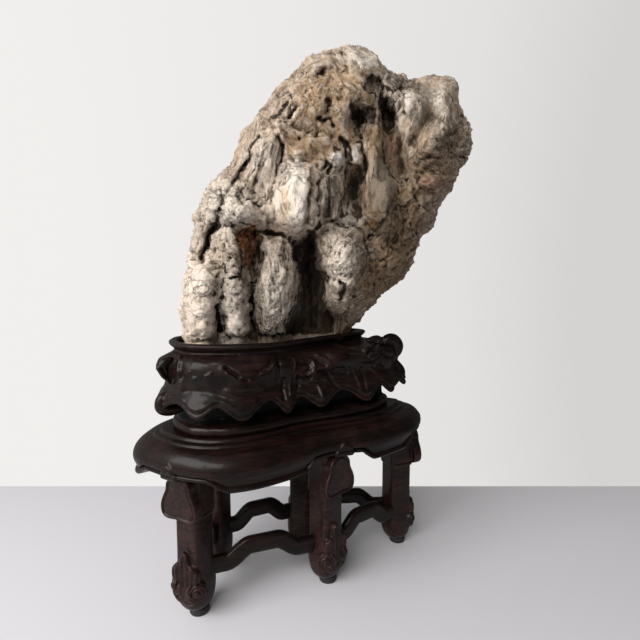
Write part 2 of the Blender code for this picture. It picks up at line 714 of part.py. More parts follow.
def build_stone(limestone, collection):
    mesh = stone_blank()
    shape_faces(mesh)
    mesh = remeshed(mesh, BASE_VOXEL)
    roughen(mesh)
    set_points(mesh, keep_in_socket(on_sight_lines(get_points(mesh))))
    mesh = remeshed(mesh, BASE_VOXEL * 0.9)
    thing = bpy.data.objects.new("clay", mesh)
    bpy.context.scene.collection.objects.link(thing)
    fewer = thing.modifiers.new("fewer", "DECIMATE")
    fewer.ratio = STONE_TRIANGLES / (2 * len(mesh.polygons))
    bpy.context.view_layer.update()
    bm = bmesh.new()
    bm.from_mesh(evaluated_copy(thing, "stone"))
    drop(thing)
    everything = bm.verts[:] + bm.edges[:] + bm.faces[:]
    cut = bmesh.ops.bisect_plane(bm, geom=everything, plane_co=(0, 0, STONE_FOOT * MM),
                                 plane_no=(0, 0, 1), clear_inner=True)["geom_cut"]
    edges = [item for item in cut if isinstance(item, bmesh.types.BMEdge)]
    bmesh.ops.holes_fill(bm, edges=edges)
    bmesh.ops.triangulate(bm, faces=bm.faces[:])
    add_object("stone", mesh_from(bm, "stone"), limestone, collection)


def main():
    clear_scene()
    parts = make_collection("scholars_stone")
    cutters = make_collection("cutters")
    materials = make_materials()
    wood = materials["dark_hardwood"]
    build_legs(wood, materials["black_pad"], parts)
    shaft_rooms = shaft_cutters(cutters)
    for start, end in STRETCHERS:
        build_stretcher(start, end, wood, parts, shaft_rooms)
    build_table_top(wood, parts)
    build_carved_base(wood, parts)
    build_stone(materials["limestone"], parts)
    ground = bpy.data.objects.new("table_middle", None)
    parts.objects.link(ground)
    ground.location = (TABLE_MIDDLE[0] * MM, TABLE_MIDDLE[1] * MM, 0)
    for thing in list(parts.objects) + list(cutters.objects):
        if thing is not ground:
            thing.parent = ground


main()
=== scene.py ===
"""Finish of a scholar's stone on its leaf-carved hardwood base and small long table.

Sizes are in millimetres, and places are measured from the floor under the table's middle,
unless a comment says metres.
"""
import math

import bmesh
import bpy
import numpy as np
from mathutils import Matrix, Vector, noise


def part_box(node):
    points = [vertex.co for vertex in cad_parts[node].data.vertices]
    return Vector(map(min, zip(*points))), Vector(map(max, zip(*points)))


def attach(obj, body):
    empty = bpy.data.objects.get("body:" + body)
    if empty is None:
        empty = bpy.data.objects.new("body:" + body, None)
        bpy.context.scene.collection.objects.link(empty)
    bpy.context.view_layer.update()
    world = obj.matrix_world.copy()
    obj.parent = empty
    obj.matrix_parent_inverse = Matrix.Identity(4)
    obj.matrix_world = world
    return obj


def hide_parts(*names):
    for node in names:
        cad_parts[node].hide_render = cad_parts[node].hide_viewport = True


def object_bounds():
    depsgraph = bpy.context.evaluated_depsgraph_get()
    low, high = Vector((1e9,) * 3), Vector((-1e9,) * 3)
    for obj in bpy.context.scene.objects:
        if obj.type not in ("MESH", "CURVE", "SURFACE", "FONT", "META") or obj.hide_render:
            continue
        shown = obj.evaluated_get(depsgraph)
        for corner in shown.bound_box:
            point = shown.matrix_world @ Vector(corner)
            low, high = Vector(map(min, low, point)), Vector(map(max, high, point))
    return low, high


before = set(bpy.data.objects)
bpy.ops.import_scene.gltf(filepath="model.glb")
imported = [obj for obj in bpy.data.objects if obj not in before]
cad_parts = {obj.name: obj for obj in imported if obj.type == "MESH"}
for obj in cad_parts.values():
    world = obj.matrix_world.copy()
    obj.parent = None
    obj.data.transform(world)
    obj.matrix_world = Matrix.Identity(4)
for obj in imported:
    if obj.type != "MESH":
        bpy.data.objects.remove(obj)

CAD_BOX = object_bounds()
MM = 0.001
FRONT_LEFT_PAD = (-97.5, -27.0)         # its middle, measured from the table's middle
PAD_LOW, PAD_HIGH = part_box("foot_pad_front_left")
TABLE_MIDDLE = Vector(((PAD_LOW.x + PAD_HIGH.x) / 2 / MM - FRONT_LEFT_PAD[0],
                       (PAD_LOW.y + PAD_HIGH.y) / 2 / MM - FRONT_LEFT_PAD[1], 0.0))
ORIGIN = np.array(TABLE_MIDDLE)
BOX_LOW, BOX_HIGH = (np.array(corner) / MM - ORIGIN for corner in CAD_BOX)

# ---- viewpoint ---------------------------------------------------------------
EYE = (-145.8, -404.8, 289.0)
EYE_TURN = 23.4                         # degrees from +Y towards +X
EYE_DIP = 5.15                          # degrees below level
FRAME_PIXELS = 640
FOCAL_PIXELS = 444
SENSOR_WIDTH = 36.0

# ---- room: metres, watts -----------------------------------------------------
FLOOR_HALF = (2.2, 1.4)
FLOOR_END = 0.156                       # how far behind the table's middle it ends
FLOOR_SINK = 0.0002                     # how far it lies below the feet
FLOOR_COLOUR = (0.64, 0.635, 0.665, 1)
LIT_PLACE = (-0.04, 0.0, 0.30)          # what the windows face
WINDOWS = {     # name: (place, width, power, colour)
    "window": ((-1.10, -0.34, 0.88), 0.8, 17, (1.0, 0.985, 0.965)),
    "front_window": ((-0.80, -1.05, 1.10), 0.6, 10, (1.0, 0.98, 0.955)),
}
DAYLIGHT = (1.0, 0.985, 0.965, 1)
WINDOW_SIDE = (-0.95, -0.05, 0.3)       # the direction the room is brightest in
ACROSS_VIEW = (0.918, -0.397, 0.0)
ROOM_GLOW = ((0.0, 0.09), (0.45, 0.14), (0.75, 0.45), (1.0, 0.95))
# the walls as seen, darker towards the right: a painted shadow
WALL_SHADE = ((0.0, 0.88), (0.45, 0.83), (0.8, 0.76), (1.0, 0.66))

# ---- stone -------------------------------------------------------------------
# The front's forms are given where their lines of sight cross the upright plane through
# the table's long axis: (x, z).
BODY_VOXEL = 1.5
SKIN_VOXEL = 1.2
STONE_TRIANGLES = 190000
SOCKET_TOP = (228, 242) # the stone comes free of its socket between these heights
BOX_MARGIN = 5.0        # what comes this near the solid's box is pressed back into it
FACE_BOLDNESS = 1.35    # factor on every rise in FACES
FACE_REACH = 9          # how far outside a face its edge is worked out
DEEPEST = 26.0          # how far the front's carving can reach in
WIDE = 4.0              # valleys wider than this have soft sides, narrower ones steep walls
SKIN_ROOM = 5.0         # how far the front is sunk first, so that raised faces stay in the box
CARVING_SHIFTS = ((9.0, 2.2, 0.0), (3.2, 0.9, 5.0))     # (reach, size, seed) of uneven shifts
BACK_SHIFTS = ((12.0, 4.0, 8.0), (3.5, 1.2, 9.0))
WASH_SHIFTS = ((14.0, 6.0, 4.0), (4.0, 2.0, 5.0))
REGION_SHIFT = (16.0, 7.0, 6.0)
SEEN = (0.0, 0.3)       # the carving fades in between these, 1 being square to the eye
BEHIND = (0.1, 0.5)     # and the back's clefts between these, 1 being square to the back
AHEAD = -0.15           # below this the surface is turned away and has the back's skin
FACES = [       # (corners (x, z), rise, softness of the edge)
    # the deep cavity and the ridges on its floor
    ([(0, 326), (10, 328), (20, 334), (25, 338), (26, 325), (24, 312), (27, 300), (33, 297),
      (40, 292), (35, 281), (33, 270), (38, 261), (43, 252), (44, 236), (-8, 236), (-3, 258),
      (5, 272), (9, 288), (5, 302), (0, 312)], -13, 2.2),
    ([(8, 290), (13, 290), (12, 262), (9, 236), (2, 236), (6, 266)], 3, 1.6),
    ([(29, 276), (33, 276), (37, 262), (34, 236), (25, 236), (28, 262)], 5, 2.0),
    # brow
    ([(0, 330), (6, 325), (16, 328), (26, 334), (33, 342), (40, 349), (30, 352), (18, 346), (10, 335)],
     3.5, 1.8),
    ([(20, 348), (27, 350), (27, 372), (28, 386), (23, 380), (19, 366)], 2.0, 1.4),
    ([(30, 352), (37, 354), (38, 374), (38, 390), (31, 386), (30, 370)], 2.5, 1.4),
    ([(41, 350), (48, 352), (51, 366), (54, 380), (54, 392), (44, 392), (41, 376)], 4, 1.6),
    ([(-19, 438), (0, 431), (20, 427), (40, 424), (46, 412), (36, 396), (22, 403), (0, 404),
      (-9, 400), (-6, 412), (-12, 424)], 3.5, 1.8),
    # hollow between brow and tongue, with its crystal and the wedge under it
    ([(56, 396), (60, 406), (66, 405), (76, 404), (80, 398), (76, 384), (71, 371), (63, 366),
      (58, 352), (50, 350), (52, 366), (56, 380)], -5.5, 1.6),
    ([(50, 428), (56, 424), (57, 410), (60, 404), (64, 410), (62, 424), (58, 430)], -6, 1.4),
    ([(63, 423), (74, 426), (78, 414), (75, 405), (65, 406)], 6, 1.0),
    ([(40, 410), (50, 415), (57, 412), (57, 402), (48, 398), (41, 401)], 4, 1.2),
    ([(57, 353), (60, 363), (70, 371), (76, 366), (79, 350), (75, 344), (64, 346)], 2.5, 1.4),
    # tongue and its root
    ([(76, 432), (82, 446), (92, 449), (100, 446), (99, 424), (103, 406), (110, 397), (117, 388), (118, 380),
      (112, 373), (108, 364), (100, 350), (93, 340), (86, 344), (76, 356), (71, 371), (76, 385),
      (82, 399), (80, 413), (75, 424)], 3.5, 1.6),
    # hanging lobe
    ([(20, 334), (30, 341), (42, 346), (56, 341), (66, 343), (76, 338), (80, 322), (77, 305),
      (73, 292), (67, 280), (60, 262), (52, 254), (44, 254), (38, 262), (34, 270), (36, 280),
      (40, 290), (36, 297), (27, 298), (24, 310), (21, 322)], 5, 1.8),
    ([(34, 336), (56, 334), (72, 330), (74, 312), (66, 300), (50, 302), (38, 306), (34, 320)], 2.5, 3.0),
    ([(40, 286), (52, 294), (68, 288), (66, 274), (58, 260), (48, 256), (40, 264)], 2.5, 2.0),
    # pillars
    ([(-106, 236), (-108, 266), (-102, 294), (-96, 306), (-86, 303), (-80, 312), (-75, 326), (-68, 334),
      (-58, 337), (-53, 332), (-51, 312), (-51, 296), (-56, 291), (-66, 290), (-68, 280), (-71, 268),
      (-75, 258), (-74, 246), (-73, 236)], 4.5, 1.8),
    ([(-92, 300), (-78, 306), (-70, 296), (-72, 280), (-82, 272), (-92, 280)], 1.5, 4.0),
    ([(-98, 268), (-80, 270), (-76, 258), (-80, 244), (-98, 242)], 1.5, 4.0),
    ([(-66, 334), (-56, 334), (-52, 322), (-52, 312), (-59, 311), (-64, 318)], 1.8, 1.4),
    ([(-63, 308), (-54, 309), (-51, 302), (-53, 293), (-61, 292), (-64, 298)], 2.2, 1.4),
    ([(-65, 290), (-52, 292), (-44, 282), (-42, 262), (-43, 238), (-64, 238), (-67, 262)], 4.5, 1.6),
    ([(-62, 286), (-50, 288), (-46, 276), (-52, 268), (-62, 270)], 1.5, 2.0),
    ([(-64, 262), (-48, 264), (-45, 252), (-47, 240), (-62, 240)], 1.5, 2.0),
    ([(-31, 332), (-4, 330), (-1, 320), (0, 310), (5, 302), (8, 296), (8, 285), (4, 276), (-3, 262),
      (-8, 248), (-8, 238), (-33, 238), (-37, 255), (-38, 270), (-35, 285), (-31, 298), (-28, 312)], 6, 1.6),
    ([(-24, 326), (-10, 326), (-8, 300), (-12, 268), (-24, 262), (-26, 292)], 1.5, 4.0),
    # shelf of lumps above the pillars
    ([(-66, 367), (-54, 366), (-48, 354), (-51, 343), (-62, 338), (-70, 345), (-69, 356)], 2.6, 1.2),
    ([(-49, 352), (-42, 360), (-34, 358), (-28, 350), (-23, 343), (-27, 334), (-36, 334), (-44, 341),
      (-51, 342)], 3, 1.4),
    ([(-92, 352), (-79, 373), (-66, 384), (-56, 376), (-62, 368), (-69, 352), (-73, 341), (-80, 330),
      (-86, 312), (-96, 316)], 3.5, 2.0),
    ([(-80, 366), (-68, 372), (-64, 360), (-70, 350), (-80, 352)], 1.8, 3.0),
    ([(-29, 358), (-22, 362), (-17, 352), (-20, 342), (-25, 345)], 2.5, 1.4),
    # strips of the flank
    ([(-28, 440), (-16, 440), (-22, 424), (-31, 420), (-36, 411), (-42, 398), (-48, 386), (-54, 376),
      (-62, 380), (-54, 392), (-44, 410), (-36, 426)], 2.5, 1.4),
    ([(-30, 418), (-24, 418), (-28, 398), (-34, 384), (-44, 370),
      (-50, 374), (-42, 388), (-35, 404)], 1.6, 1.2),
    ([(-22, 416), (-13, 416), (-12, 398), (-18, 380), (-24, 364),
      (-36, 362), (-30, 380), (-25, 398)], 1.6, 1.2),
    # rust-coloured cavity
    ([(-51, 332), (-46, 337), (-34, 333), (-31, 318), (-30, 302), (-35, 286), (-44, 284), (-51, 293),
      (-50, 310)], -5.5, 1.4),
    ([(-43, 334), (-38, 336), (-36, 318), (-43, 300), (-46, 300), (-42, 318)], 4, 1.2),
    # crown
    ([(61, 463), (70, 461), (82, 462), (90, 463), (90, 452), (92, 447), (84, 447), (77, 445), (72, 437),
      (66, 446), (61, 454)], -11, 1.2),
    ([(76, 447), (89, 448), (89, 461), (76, 460)], 5, 1.2),
    ([(66, 438), (71, 440), (76, 433), (74, 427), (68, 430)], -6, 1.2),
    ([(82, 492), (80, 484), (76, 478), (82, 473), (90, 474), (95, 467), (98, 472), (98, 484), (96, 494),
      (90, 491), (86, 496)], -6, 1.4),
    ([(12, 470), (26, 476), (36, 472), (36, 452), (24, 446), (10, 450), (6, 460)], 1.8, 3.0),
    ([(42, 482), (58, 484), (74, 474), (60, 466), (46, 464), (40, 472)], 1.8, 3.0),
    ([(44, 460), (60, 466), (60, 450), (52, 442), (46, 444)], 2, 1.8),
    ([(56, 512), (76, 512), (90, 500), (78, 496), (62, 500), (54, 504)], 2.5, 3.0),
    ([(16, 498), (36, 502), (48, 498), (36, 490), (20, 490)], 2.5, 2.4),
    ([(-2, 470), (6, 480), (10, 468), (4, 452), (2, 440), (-2, 452)], 2.5, 1.4),
    ([(-20, 452), (-6, 462), (-3, 452), (-10, 440), (-20, 438)], 2.5, 1.4),
    ([(50, 440), (58, 444), (70, 438), (74, 426), (60, 428), (50, 430)], 2.5, 1.6),
    # crevice and knobs between crown and wing
    ([(93, 447), (92, 462), (97, 476), (103, 474), (106, 466), (112, 462), (116, 456), (114, 448),
      (106, 440), (98, 440)], -12, 1.6),
    ([(101, 478), (106, 482), (118, 484), (124, 476), (122, 462), (114, 458), (107, 462), (104, 470)],
     3, 1.4),
    ([(124, 464), (125, 478), (132, 480), (137, 470), (133, 461)], 2.2, 1.6),
    ([(99, 484), (100, 494), (106, 500), (118, 504), (122, 498), (119, 486), (110, 483)], 4, 1.4),
    # wing
    ([(120, 484), (138, 496), (160, 505), (186, 510), (197, 495), (199, 480), (196, 474), (188, 462),
      (182, 446), (172, 430), (152, 420), (142, 414), (130, 410), (120, 416), (126, 440), (134, 456),
      (140, 470), (136, 482)], 3, 3.0),
    ([(176, 476), (186, 480), (184, 462), (172, 440), (160, 426), (150, 424), (158, 444), (168, 464)],
     2.5, 4.0),
    ([(182, 446), (192, 454), (206, 460), (213, 448), (213, 434), (207, 426), (194, 426), (183, 434)],
     2.5, 1.2),
    ([(178, 424), (186, 428), (198, 422), (208, 418), (203, 406), (180, 406), (150, 407), (152, 412),
      (166, 418)], -3, 1.4),
    ([(146, 402), (184, 405), (192, 396), (178, 386), (150, 387)], 2.5, 1.2),
    ([(102, 444), (116, 448), (122, 430), (114, 412), (106, 404), (102, 424)], -4, 2.0),
    # lower right flank
    ([(118, 398), (138, 404), (144, 386), (130, 368), (118, 376)], 2.5, 1.6),
    ([(128, 362), (150, 382), (162, 372), (152, 352), (136, 344)], 3, 1.4),
    ([(98, 342), (112, 366), (122, 356), (116, 336), (104, 330)], 2.5, 1.4),
    ([(120, 348), (134, 354), (144, 336), (132, 318), (120, 324)], 2.5, 1.4),
    ([(82, 328), (100, 336), (112, 324), (104, 312), (88, 312)], 2.5, 1.4),
    ([(96, 306), (118, 318), (128, 310), (116, 292), (100, 290)], 2.5, 1.4),
    ([(80, 306), (92, 306), (94, 288), (84, 276), (76, 286)], 2.5, 1.4),
]
TILTED = [      # faces that rise towards one side: (corners, direction, slope, softness)
    ([(-22, 372), (-22, 342), (-25, 336), (-10, 332), (0, 331), (7, 334), (13, 341), (15, 350),
      (16, 366), (20, 379), (34, 392), (22, 401), (0, 402), (-9, 398), (-13, 388)], (1, 0.1), 0.12, 1.6),
    ([(-8, 343), (-7, 360), (-3, 378), (5, 391), (20, 397), (18, 382), (15, 366), (14, 350),
      (10, 341), (-2, 339)], (1, 0), 0.42, 1.6),
    ([(18, 340), (26, 345), (27, 372), (20, 372)], (-1, 0), 0.25, 1.2),
    ([(-66, 367), (-54, 366), (-48, 354), (-51, 343), (-62, 338), (-70, 345)], (0.6, 0.8), 0.14, 1.2),
    ([(-49, 352), (-42, 360), (-34, 358), (-28, 350), (-23, 343), (-27, 334), (-36, 334), (-44, 341)],
     (0.5, 0.9), 0.14, 1.2),
    ([(-106, 282), (-98, 300), (-84, 304), (-74, 290), (-76, 278), (-92, 274)], (0.4, -0.9), 0.14, 1.0),
    ([(-104, 262), (-92, 276), (-76, 276), (-74, 262), (-88, 256)], (0.5, -0.8), 0.16, 1.0),
    ([(-104, 240), (-96, 258), (-78, 260), (-76, 242)], (0.3, -0.9), 0.12, 1.0),
    ([(-64, 262), (-60, 286), (-48, 282), (-46, 266)], (0.9, 0.3), 0.16, 1.0),
    ([(-62, 240), (-62, 258), (-48, 260), (-46, 242)], (0.8, -0.4), 0.16, 1.0),
    ([(-28, 330), (-8, 328), (-12, 306), (-26, 304)], (0.6, 0.7), 0.12, 1.2),
    ([(-34, 290), (-24, 300), (-22, 268), (-34, 262)], (1, 0.2), 0.20, 1.2),
    ([(-12, 300), (6, 296), (6, 284), (-4, 266), (-14, 270)], (0.9, 0.4), 0.16, 1.2),
    ([(34, 336), (56, 340), (74, 330), (62, 312), (42, 316)], (0.7, 0.6), 0.14, 1.4),
    ([(30, 312), (62, 310), (70, 296), (42, 296)], (0.8, -0.4), 0.12, 1.2),
]
CLEFTS = [      # (points, half width, depth)
    # the left lobe and the pillars
    ([(-66, 368), (-66, 360), (-69, 350), (-71, 341)], 1.6, 6),
    ([(-72, 337), (-77, 328), (-79, 320), (-84, 310), (-84, 305)], 2.4, 14),
    ([(-53, 331), (-51, 322), (-50, 310), (-50, 300), (-52, 293)], 1.6, 8),
    ([(-66, 328), (-64, 318), (-59, 312), (-53, 311)], 1.0, 4),
    ([(-58, 310), (-64, 304), (-64, 296), (-60, 291), (-50, 293)], 1.2, 6),
    ([(-62, 324), (-57, 322)], 0.8, 3),
    ([(-66, 290), (-67, 278), (-70, 266)], 1.1, 5),
    ([(-73, 266), (-71, 254), (-70, 243)], 1.9, 13),
    ([(-66, 258), (-67, 248), (-66, 240), (-62, 236)], 1.2, 6),
    ([(-41, 287), (-39, 272), (-40, 256), (-38, 243)], 1.8, 12),
    ([(-27, 314), (-30, 302), (-34, 289)], 1.3, 7),
    ([(-88, 288), (-85, 278)], 1.0, 2),
    ([(-98, 262), (-88, 264), (-78, 261)], 1.0, 1.5),
    ([(-96, 250), (-84, 252), (-76, 250)], 1.0, 1.5),
    ([(-20, 314), (-20, 296), (-24, 276), (-22, 260)], 0.8, 2.5),
    ([(-14, 322), (-12, 302), (-14, 284), (-11, 266)], 0.8, 2.5),
    ([(-8, 312), (-5, 298), (-6, 284), (-3, 272)], 0.8, 2.5),
    ([(-60, 284), (-54, 280), (-48, 283)], 0.9, 2.5),
    ([(-62, 272), (-55, 268), (-46, 270)], 0.9, 2.5),
    # shelf and flank
    ([(-50, 373), (-46, 364), (-40, 361), (-34, 358)], 1.4, 6),
    ([(-51, 341), (-46, 340), (-40, 341), (-34, 334), (-27, 334)], 1.2, 5),
    ([(-62, 366), (-60, 357), (-63, 350)], 0.8, 2),
    ([(-30, 335), (-20, 334), (-8, 331), (0, 329)], 1.6, 8),
    ([(-31, 421), (-36, 412)], 1.5, 8),
    ([(-36, 412), (-40, 402)], 2.1, 11),
    ([(-40, 402), (-43, 395), (-46, 388)], 1.8, 10),
    ([(-46, 388), (-49, 384), (-54, 376)], 2.1, 11),
    ([(-31, 408), (-34, 396), (-37, 386), (-43, 377), (-50, 370)], 1.0, 4),
    ([(-25, 416), (-28, 402), (-32, 386), (-38, 372)], 0.8, 2),
    ([(-18, 412), (-20, 396), (-23, 382), (-28, 366)], 0.8, 2),
    ([(-46, 418), (-52, 404), (-60, 390)], 0.8, 2),
    ([(-12, 420), (-9, 412), (-9, 404), (-12, 397)], 1.4, 7),
    ([(-14, 394), (-15, 388), (-17, 378), (-21, 366)], 0.8, 3),
    ([(-11, 389), (-4, 390), (3, 391)], 1.0, 3),
    ([(-5, 397), (-5, 389)], 0.9, 2),
    # brow
    ([(-17, 376), (-16, 358), (-18, 344)], 1.0, 1.5),
    ([(28, 386), (28, 368), (28, 352)], 1.4, 4),
    ([(39, 390), (39, 372), (38, 354)], 1.3, 4),
    ([(22, 384), (19, 368), (17, 352), (10, 341)], 1.2, 3),
    ([(34, 398), (36, 403), (40, 398), (38, 393)], 2.2, 8),
    ([(47, 399), (52, 402), (55, 408)], 0.9, 3),
    # cavity and lobe
    ([(18, 336), (17, 316), (18, 296), (20, 270), (21, 244)], 2.6, 8),
    ([(2, 320), (3, 312), (8, 302)], 3.0, 7),
    ([(24, 282), (26, 266), (24, 250), (24, 240)], 1.6, 5),
    ([(13, 290), (14, 266), (11, 244)], 1.2, 4),
    ([(27, 298), (35, 296), (40, 291)], 1.6, 5),
    ([(28, 306), (40, 300), (52, 298)], 1.0, 2),
    ([(30, 318), (42, 314), (56, 316)], 0.9, 1.5),
    ([(32, 328), (46, 324), (60, 328)], 0.9, 1.5),
    ([(42, 347), (50, 342), (58, 341), (68, 344)], 1.4, 5),
    ([(52, 287), (56, 284), (54, 276), (52, 269)], 2.8, 9),
    ([(76, 336), (77, 322), (76, 308), (73, 296)], 1.0, 2),
    ([(78, 320), (86, 317), (94, 321)], 1.6, 3),
    ([(94, 306), (98, 310), (103, 311), (107, 307), (105, 302)], 1.1, 4),
    ([(93, 286), (91, 280), (90, 273)], 2.0, 4),
    ([(88, 337), (82, 332), (79, 328)], 1.4, 4),
    ([(30, 346), (25, 341)], 2.0, 6),
    # crown
    ([(-1, 463), (1, 452), (0, 442), (-2, 438)], 1.7, 8),
    ([(-4, 452), (-8, 446), (-12, 441), (-19, 438)], 1.8, 7),
    ([(5, 448), (2, 441)], 1.2, 4),
    ([(-8, 462), (-5, 453)], 1.1, 4),
    ([(38, 461), (37, 451)], 2.0, 10),
    ([(27, 444), (34, 442), (41, 444), (44, 437)], 1.6, 8),
    ([(14, 430), (18, 426), (23, 425), (28, 431)], 1.0, 5),
    ([(38, 433), (44, 427)], 0.9, 4),
    ([(36, 440), (38, 434)], 0.9, 3),
    ([(24, 470), (20, 464), (24, 458)], 0.7, 1.5),
    ([(50, 462), (54, 454), (52, 446)], 0.9, 2),
    ([(62, 461), (64, 450), (70, 441)], 2.4, 8),
    ([(63, 461), (74, 461), (82, 461)], 1.3, 5),
    ([(58, 505), (63, 508), (66, 512)], 0.8, 2),
    # the lines of the hollow and of the tongue
    ([(75, 431), (75, 421), (78, 412)], 1.4, 7),
    ([(79, 412), (80, 405), (81, 398)], 2.4, 12),
    ([(52, 430), (55, 422), (57, 412), (58, 404)], 1.6, 7),
    ([(101, 446), (99, 432), (99, 420), (103, 408)], 1.2, 5),
    ([(104, 406), (108, 399), (116, 390), (119, 382)], 1.4, 6),
    ([(118, 380), (112, 372), (107, 360), (100, 350), (95, 341)], 1.1, 3),
    # crevice and knobs
    ([(97, 480), (96, 466), (98, 454), (102, 446)], 2.4, 9),
    ([(105, 480), (102, 464)], 1.1, 4),
    ([(110, 481), (106, 460)], 1.0, 4),
    ([(115, 480), (111, 460)], 1.0, 4),
    ([(120, 478), (117, 462)], 1.0, 4),
    ([(100, 485), (110, 482), (120, 485)], 1.4, 6),
    ([(124, 480), (123, 470), (125, 461)], 1.1, 4),
    # wing
    ([(164, 488), (157, 472), (149, 456), (141, 446), (135, 432)], 6.0, 4),
    ([(128, 479), (136, 482), (146, 480)], 1.1, 3),
    ([(120, 484), (129, 488), (138, 492)], 1.3, 3),
    ([(178, 478), (172, 468), (164, 452)], 4.5, 1.2),
    ([(195, 474), (199, 470), (204, 466)], 1.6, 4),
    ([(196, 466), (203, 458)], 1.6, 4),
    ([(183, 446), (181, 438), (183, 432)], 1.1, 4),
    ([(183, 431), (193, 426), (206, 424)], 1.6, 6),
    ([(157, 421), (166, 421), (176, 423)], 1.5, 7),
    ([(186, 440), (194, 437), (204, 440)], 0.9, 3),
    ([(148, 404), (156, 406), (164, 406)], 1.2, 5),
    ([(148, 393), (158, 395)], 1.0, 3),
    ([(146, 387), (160, 388), (178, 386)], 1.2, 5),
    ([(132, 397), (128, 392), (122, 390)], 1.4, 5),
    ([(144, 398), (140, 388), (137, 380)], 1.4, 4),
    ([(140, 378), (148, 372)], 1.2, 5),
    # lower right flank
    ([(122, 366), (126, 350), (125, 336)], 1.3, 4),
    ([(132, 362), (135, 346)], 1.3, 4),
    ([(146, 360), (142, 350), (144, 340)], 1.2, 4),
    ([(112, 352), (108, 338), (112, 328)], 1.2, 4),
    ([(100, 322), (108, 326), (118, 322)], 1.2, 4),
    ([(84, 300), (92, 296), (98, 288)], 1.2, 4),
    ([(112, 300), (120, 304)], 1.2, 4),
]
PITS = [        # (x, z, radius, depth)
    (-23, 343, 2.2, 8), (-32, 357, 2.0, 7), (-54, 348, 1.4, 4), (2, 288, 1.2, 3),
    (2, 283, 1.2, 3), (-12, 268, 1.2, 3), (-31, 256, 1.4, 3), (-12, 257, 1.3, 3),
    (-26, 248, 1.8, 4), (-12, 246, 1.8, 4), (-30, 270, 1.0, 3), (-20, 286, 1.0, 3), (28, 344, 2.4, 6),
    (37, 338, 1.6, 4), (44, 276, 1.1, 2), (70, 277, 2.0, 5), (69, 273, 1.8, 5), (75, 279, 1.2, 3),
    (103, 303, 1.6, 4), (124, 318, 1.8, 3), (126, 334, 1.4, 3), (139, 336, 2.6, 5),
    (92, 345, 1.5, 5), (8, 422, 2.2, 8), (5, 427, 1.3, 5), (32, 485, 3.0, 9),
    (27, 484, 1.8, 6), (57, 493, 3.0, 9), (52, 491, 1.4, 4), (12, 481, 1.3, 4), (64, 491, 1.2, 4),
    (65, 486, 1.0, 3), (15, 467, 1.8, 4), (20, 470, 1.6, 4), (25, 472, 1.2, 4),
    (16, 475, 1.4, 4), (22, 478, 1.4, 4), (29, 476, 1.2, 4), (12, 462, 1.0, 3), (10, 474, 1.2, 3),
    (50, 446, 1.2, 4), (45, 450, 1.0, 3), (38, 436, 1.4, 4), (66, 470, 1.4, 3), (30, 462, 1.0, 3),
    (106, 403, 2.4, 8), (128, 394, 2.2, 5), (145, 369, 2.6, 7), (120, 356, 1.6, 4),
    (199, 470, 2.6, 5), (203, 444, 2.0, 3), (196, 438, 1.6, 3), (188, 436, 1.4, 3), (162, 500, 1.2, 3),
    (156, 496, 1.4, 3), (166, 496, 1.2, 3), (150, 500, 1.0, 2),
]
# how the front's skin breaks up: (x, z, reach, lean from upright, pitch across, pitch along,
# step height, streak height, grain)
SKIN = [
    (-34, 398, 34, -17, 4.4, 50, 0.4, 1.7, 0.35),
    (-60, 376, 18, -36, 8.0, 12, 1.5, 0.5, 0.45),
    (-6, 452, 24, -30, 5.0, 24, 0.9, 1.4, 0.35),
    (-84, 345, 24, -20, 12.0, 12, 1.6, 0.3, 0.45),
    (-50, 352, 22, 60, 10.0, 9, 1.3, 0.3, 0.40),
    (-90, 270, 34, 2, 14.0, 10, 1.1, 0.3, 0.20),
    (-56, 280, 22, 2, 7.0, 8, 1.5, 0.5, 0.75),
    (-18, 280, 28, 2, 5.0, 24, 0.8, 1.8, 0.60),
    (16, 275, 26, 0, 4.0, 44, 0.4, 1.7, 0.25),
    (6, 366, 24, -6, 12.0, 26, 0.4, 0.2, 0.10),
    (34, 372, 16, -4, 6.0, 30, 0.6, 1.3, 0.35),
    (10, 414, 26, 70, 12.0, 18, 0.7, 0.3, 0.25),
    (64, 384, 16, -8, 6.0, 26, 0.5, 0.4, 0.15),
    (56, 304, 24, -50, 7.0, 18, 1.2, 1.0, 0.35),
    (52, 268, 16, 40, 8.0, 12, 1.2, 0.6, 0.40),
    (44, 246, 20, 0, 4.5, 26, 0.5, 1.4, 0.30),
    (96, 384, 26, -6, 9.0, 52, 0.2, 0.5, 0.12),
    (36, 468, 34, -20, 12.0, 14, 0.9, 0.3, 0.40),
    (64, 500, 28, 70, 12.0, 20, 1.1, 0.4, 0.25),
    (74, 452, 16, 0, 6.0, 9, 1.0, 0.4, 0.45),
    (106, 472, 18, 12, 3.6, 18, 0.9, 1.6, 0.30),
    (116, 494, 16, 60, 6.0, 14, 0.9, 0.9, 0.30),
    (140, 456, 26, -28, 14.0, 60, 0.3, 0.6, 0.10),
    (172, 480, 26, -28, 16.0, 60, 0.3, 0.5, 0.12),
    (198, 444, 20, 60, 8.0, 12, 1.4, 0.9, 0.45),
    (168, 414, 24, 78, 6.0, 30, 0.8, 1.2, 0.35),
    (110, 424, 14, -10, 7.0, 22, 0.6, 0.6, 0.25),
    (160, 390, 22, 70, 8.0, 22, 1.1, 0.9, 0.40),
    (130, 370, 24, -30, 10.0, 15, 1.5, 0.8, 0.40),
    (108, 338, 24, -35, 10.0, 15, 1.4, 0.7, 0.40),
    (112, 306, 26, -42, 10.0, 15, 1.3, 0.6, 0.40),
    (84, 280, 22, -40, 8.0, 14, 1.2, 0.9, 0.40),
]
GRAIN_ELSEWHERE = 0.45  # the grain where SKIN doesn't reach
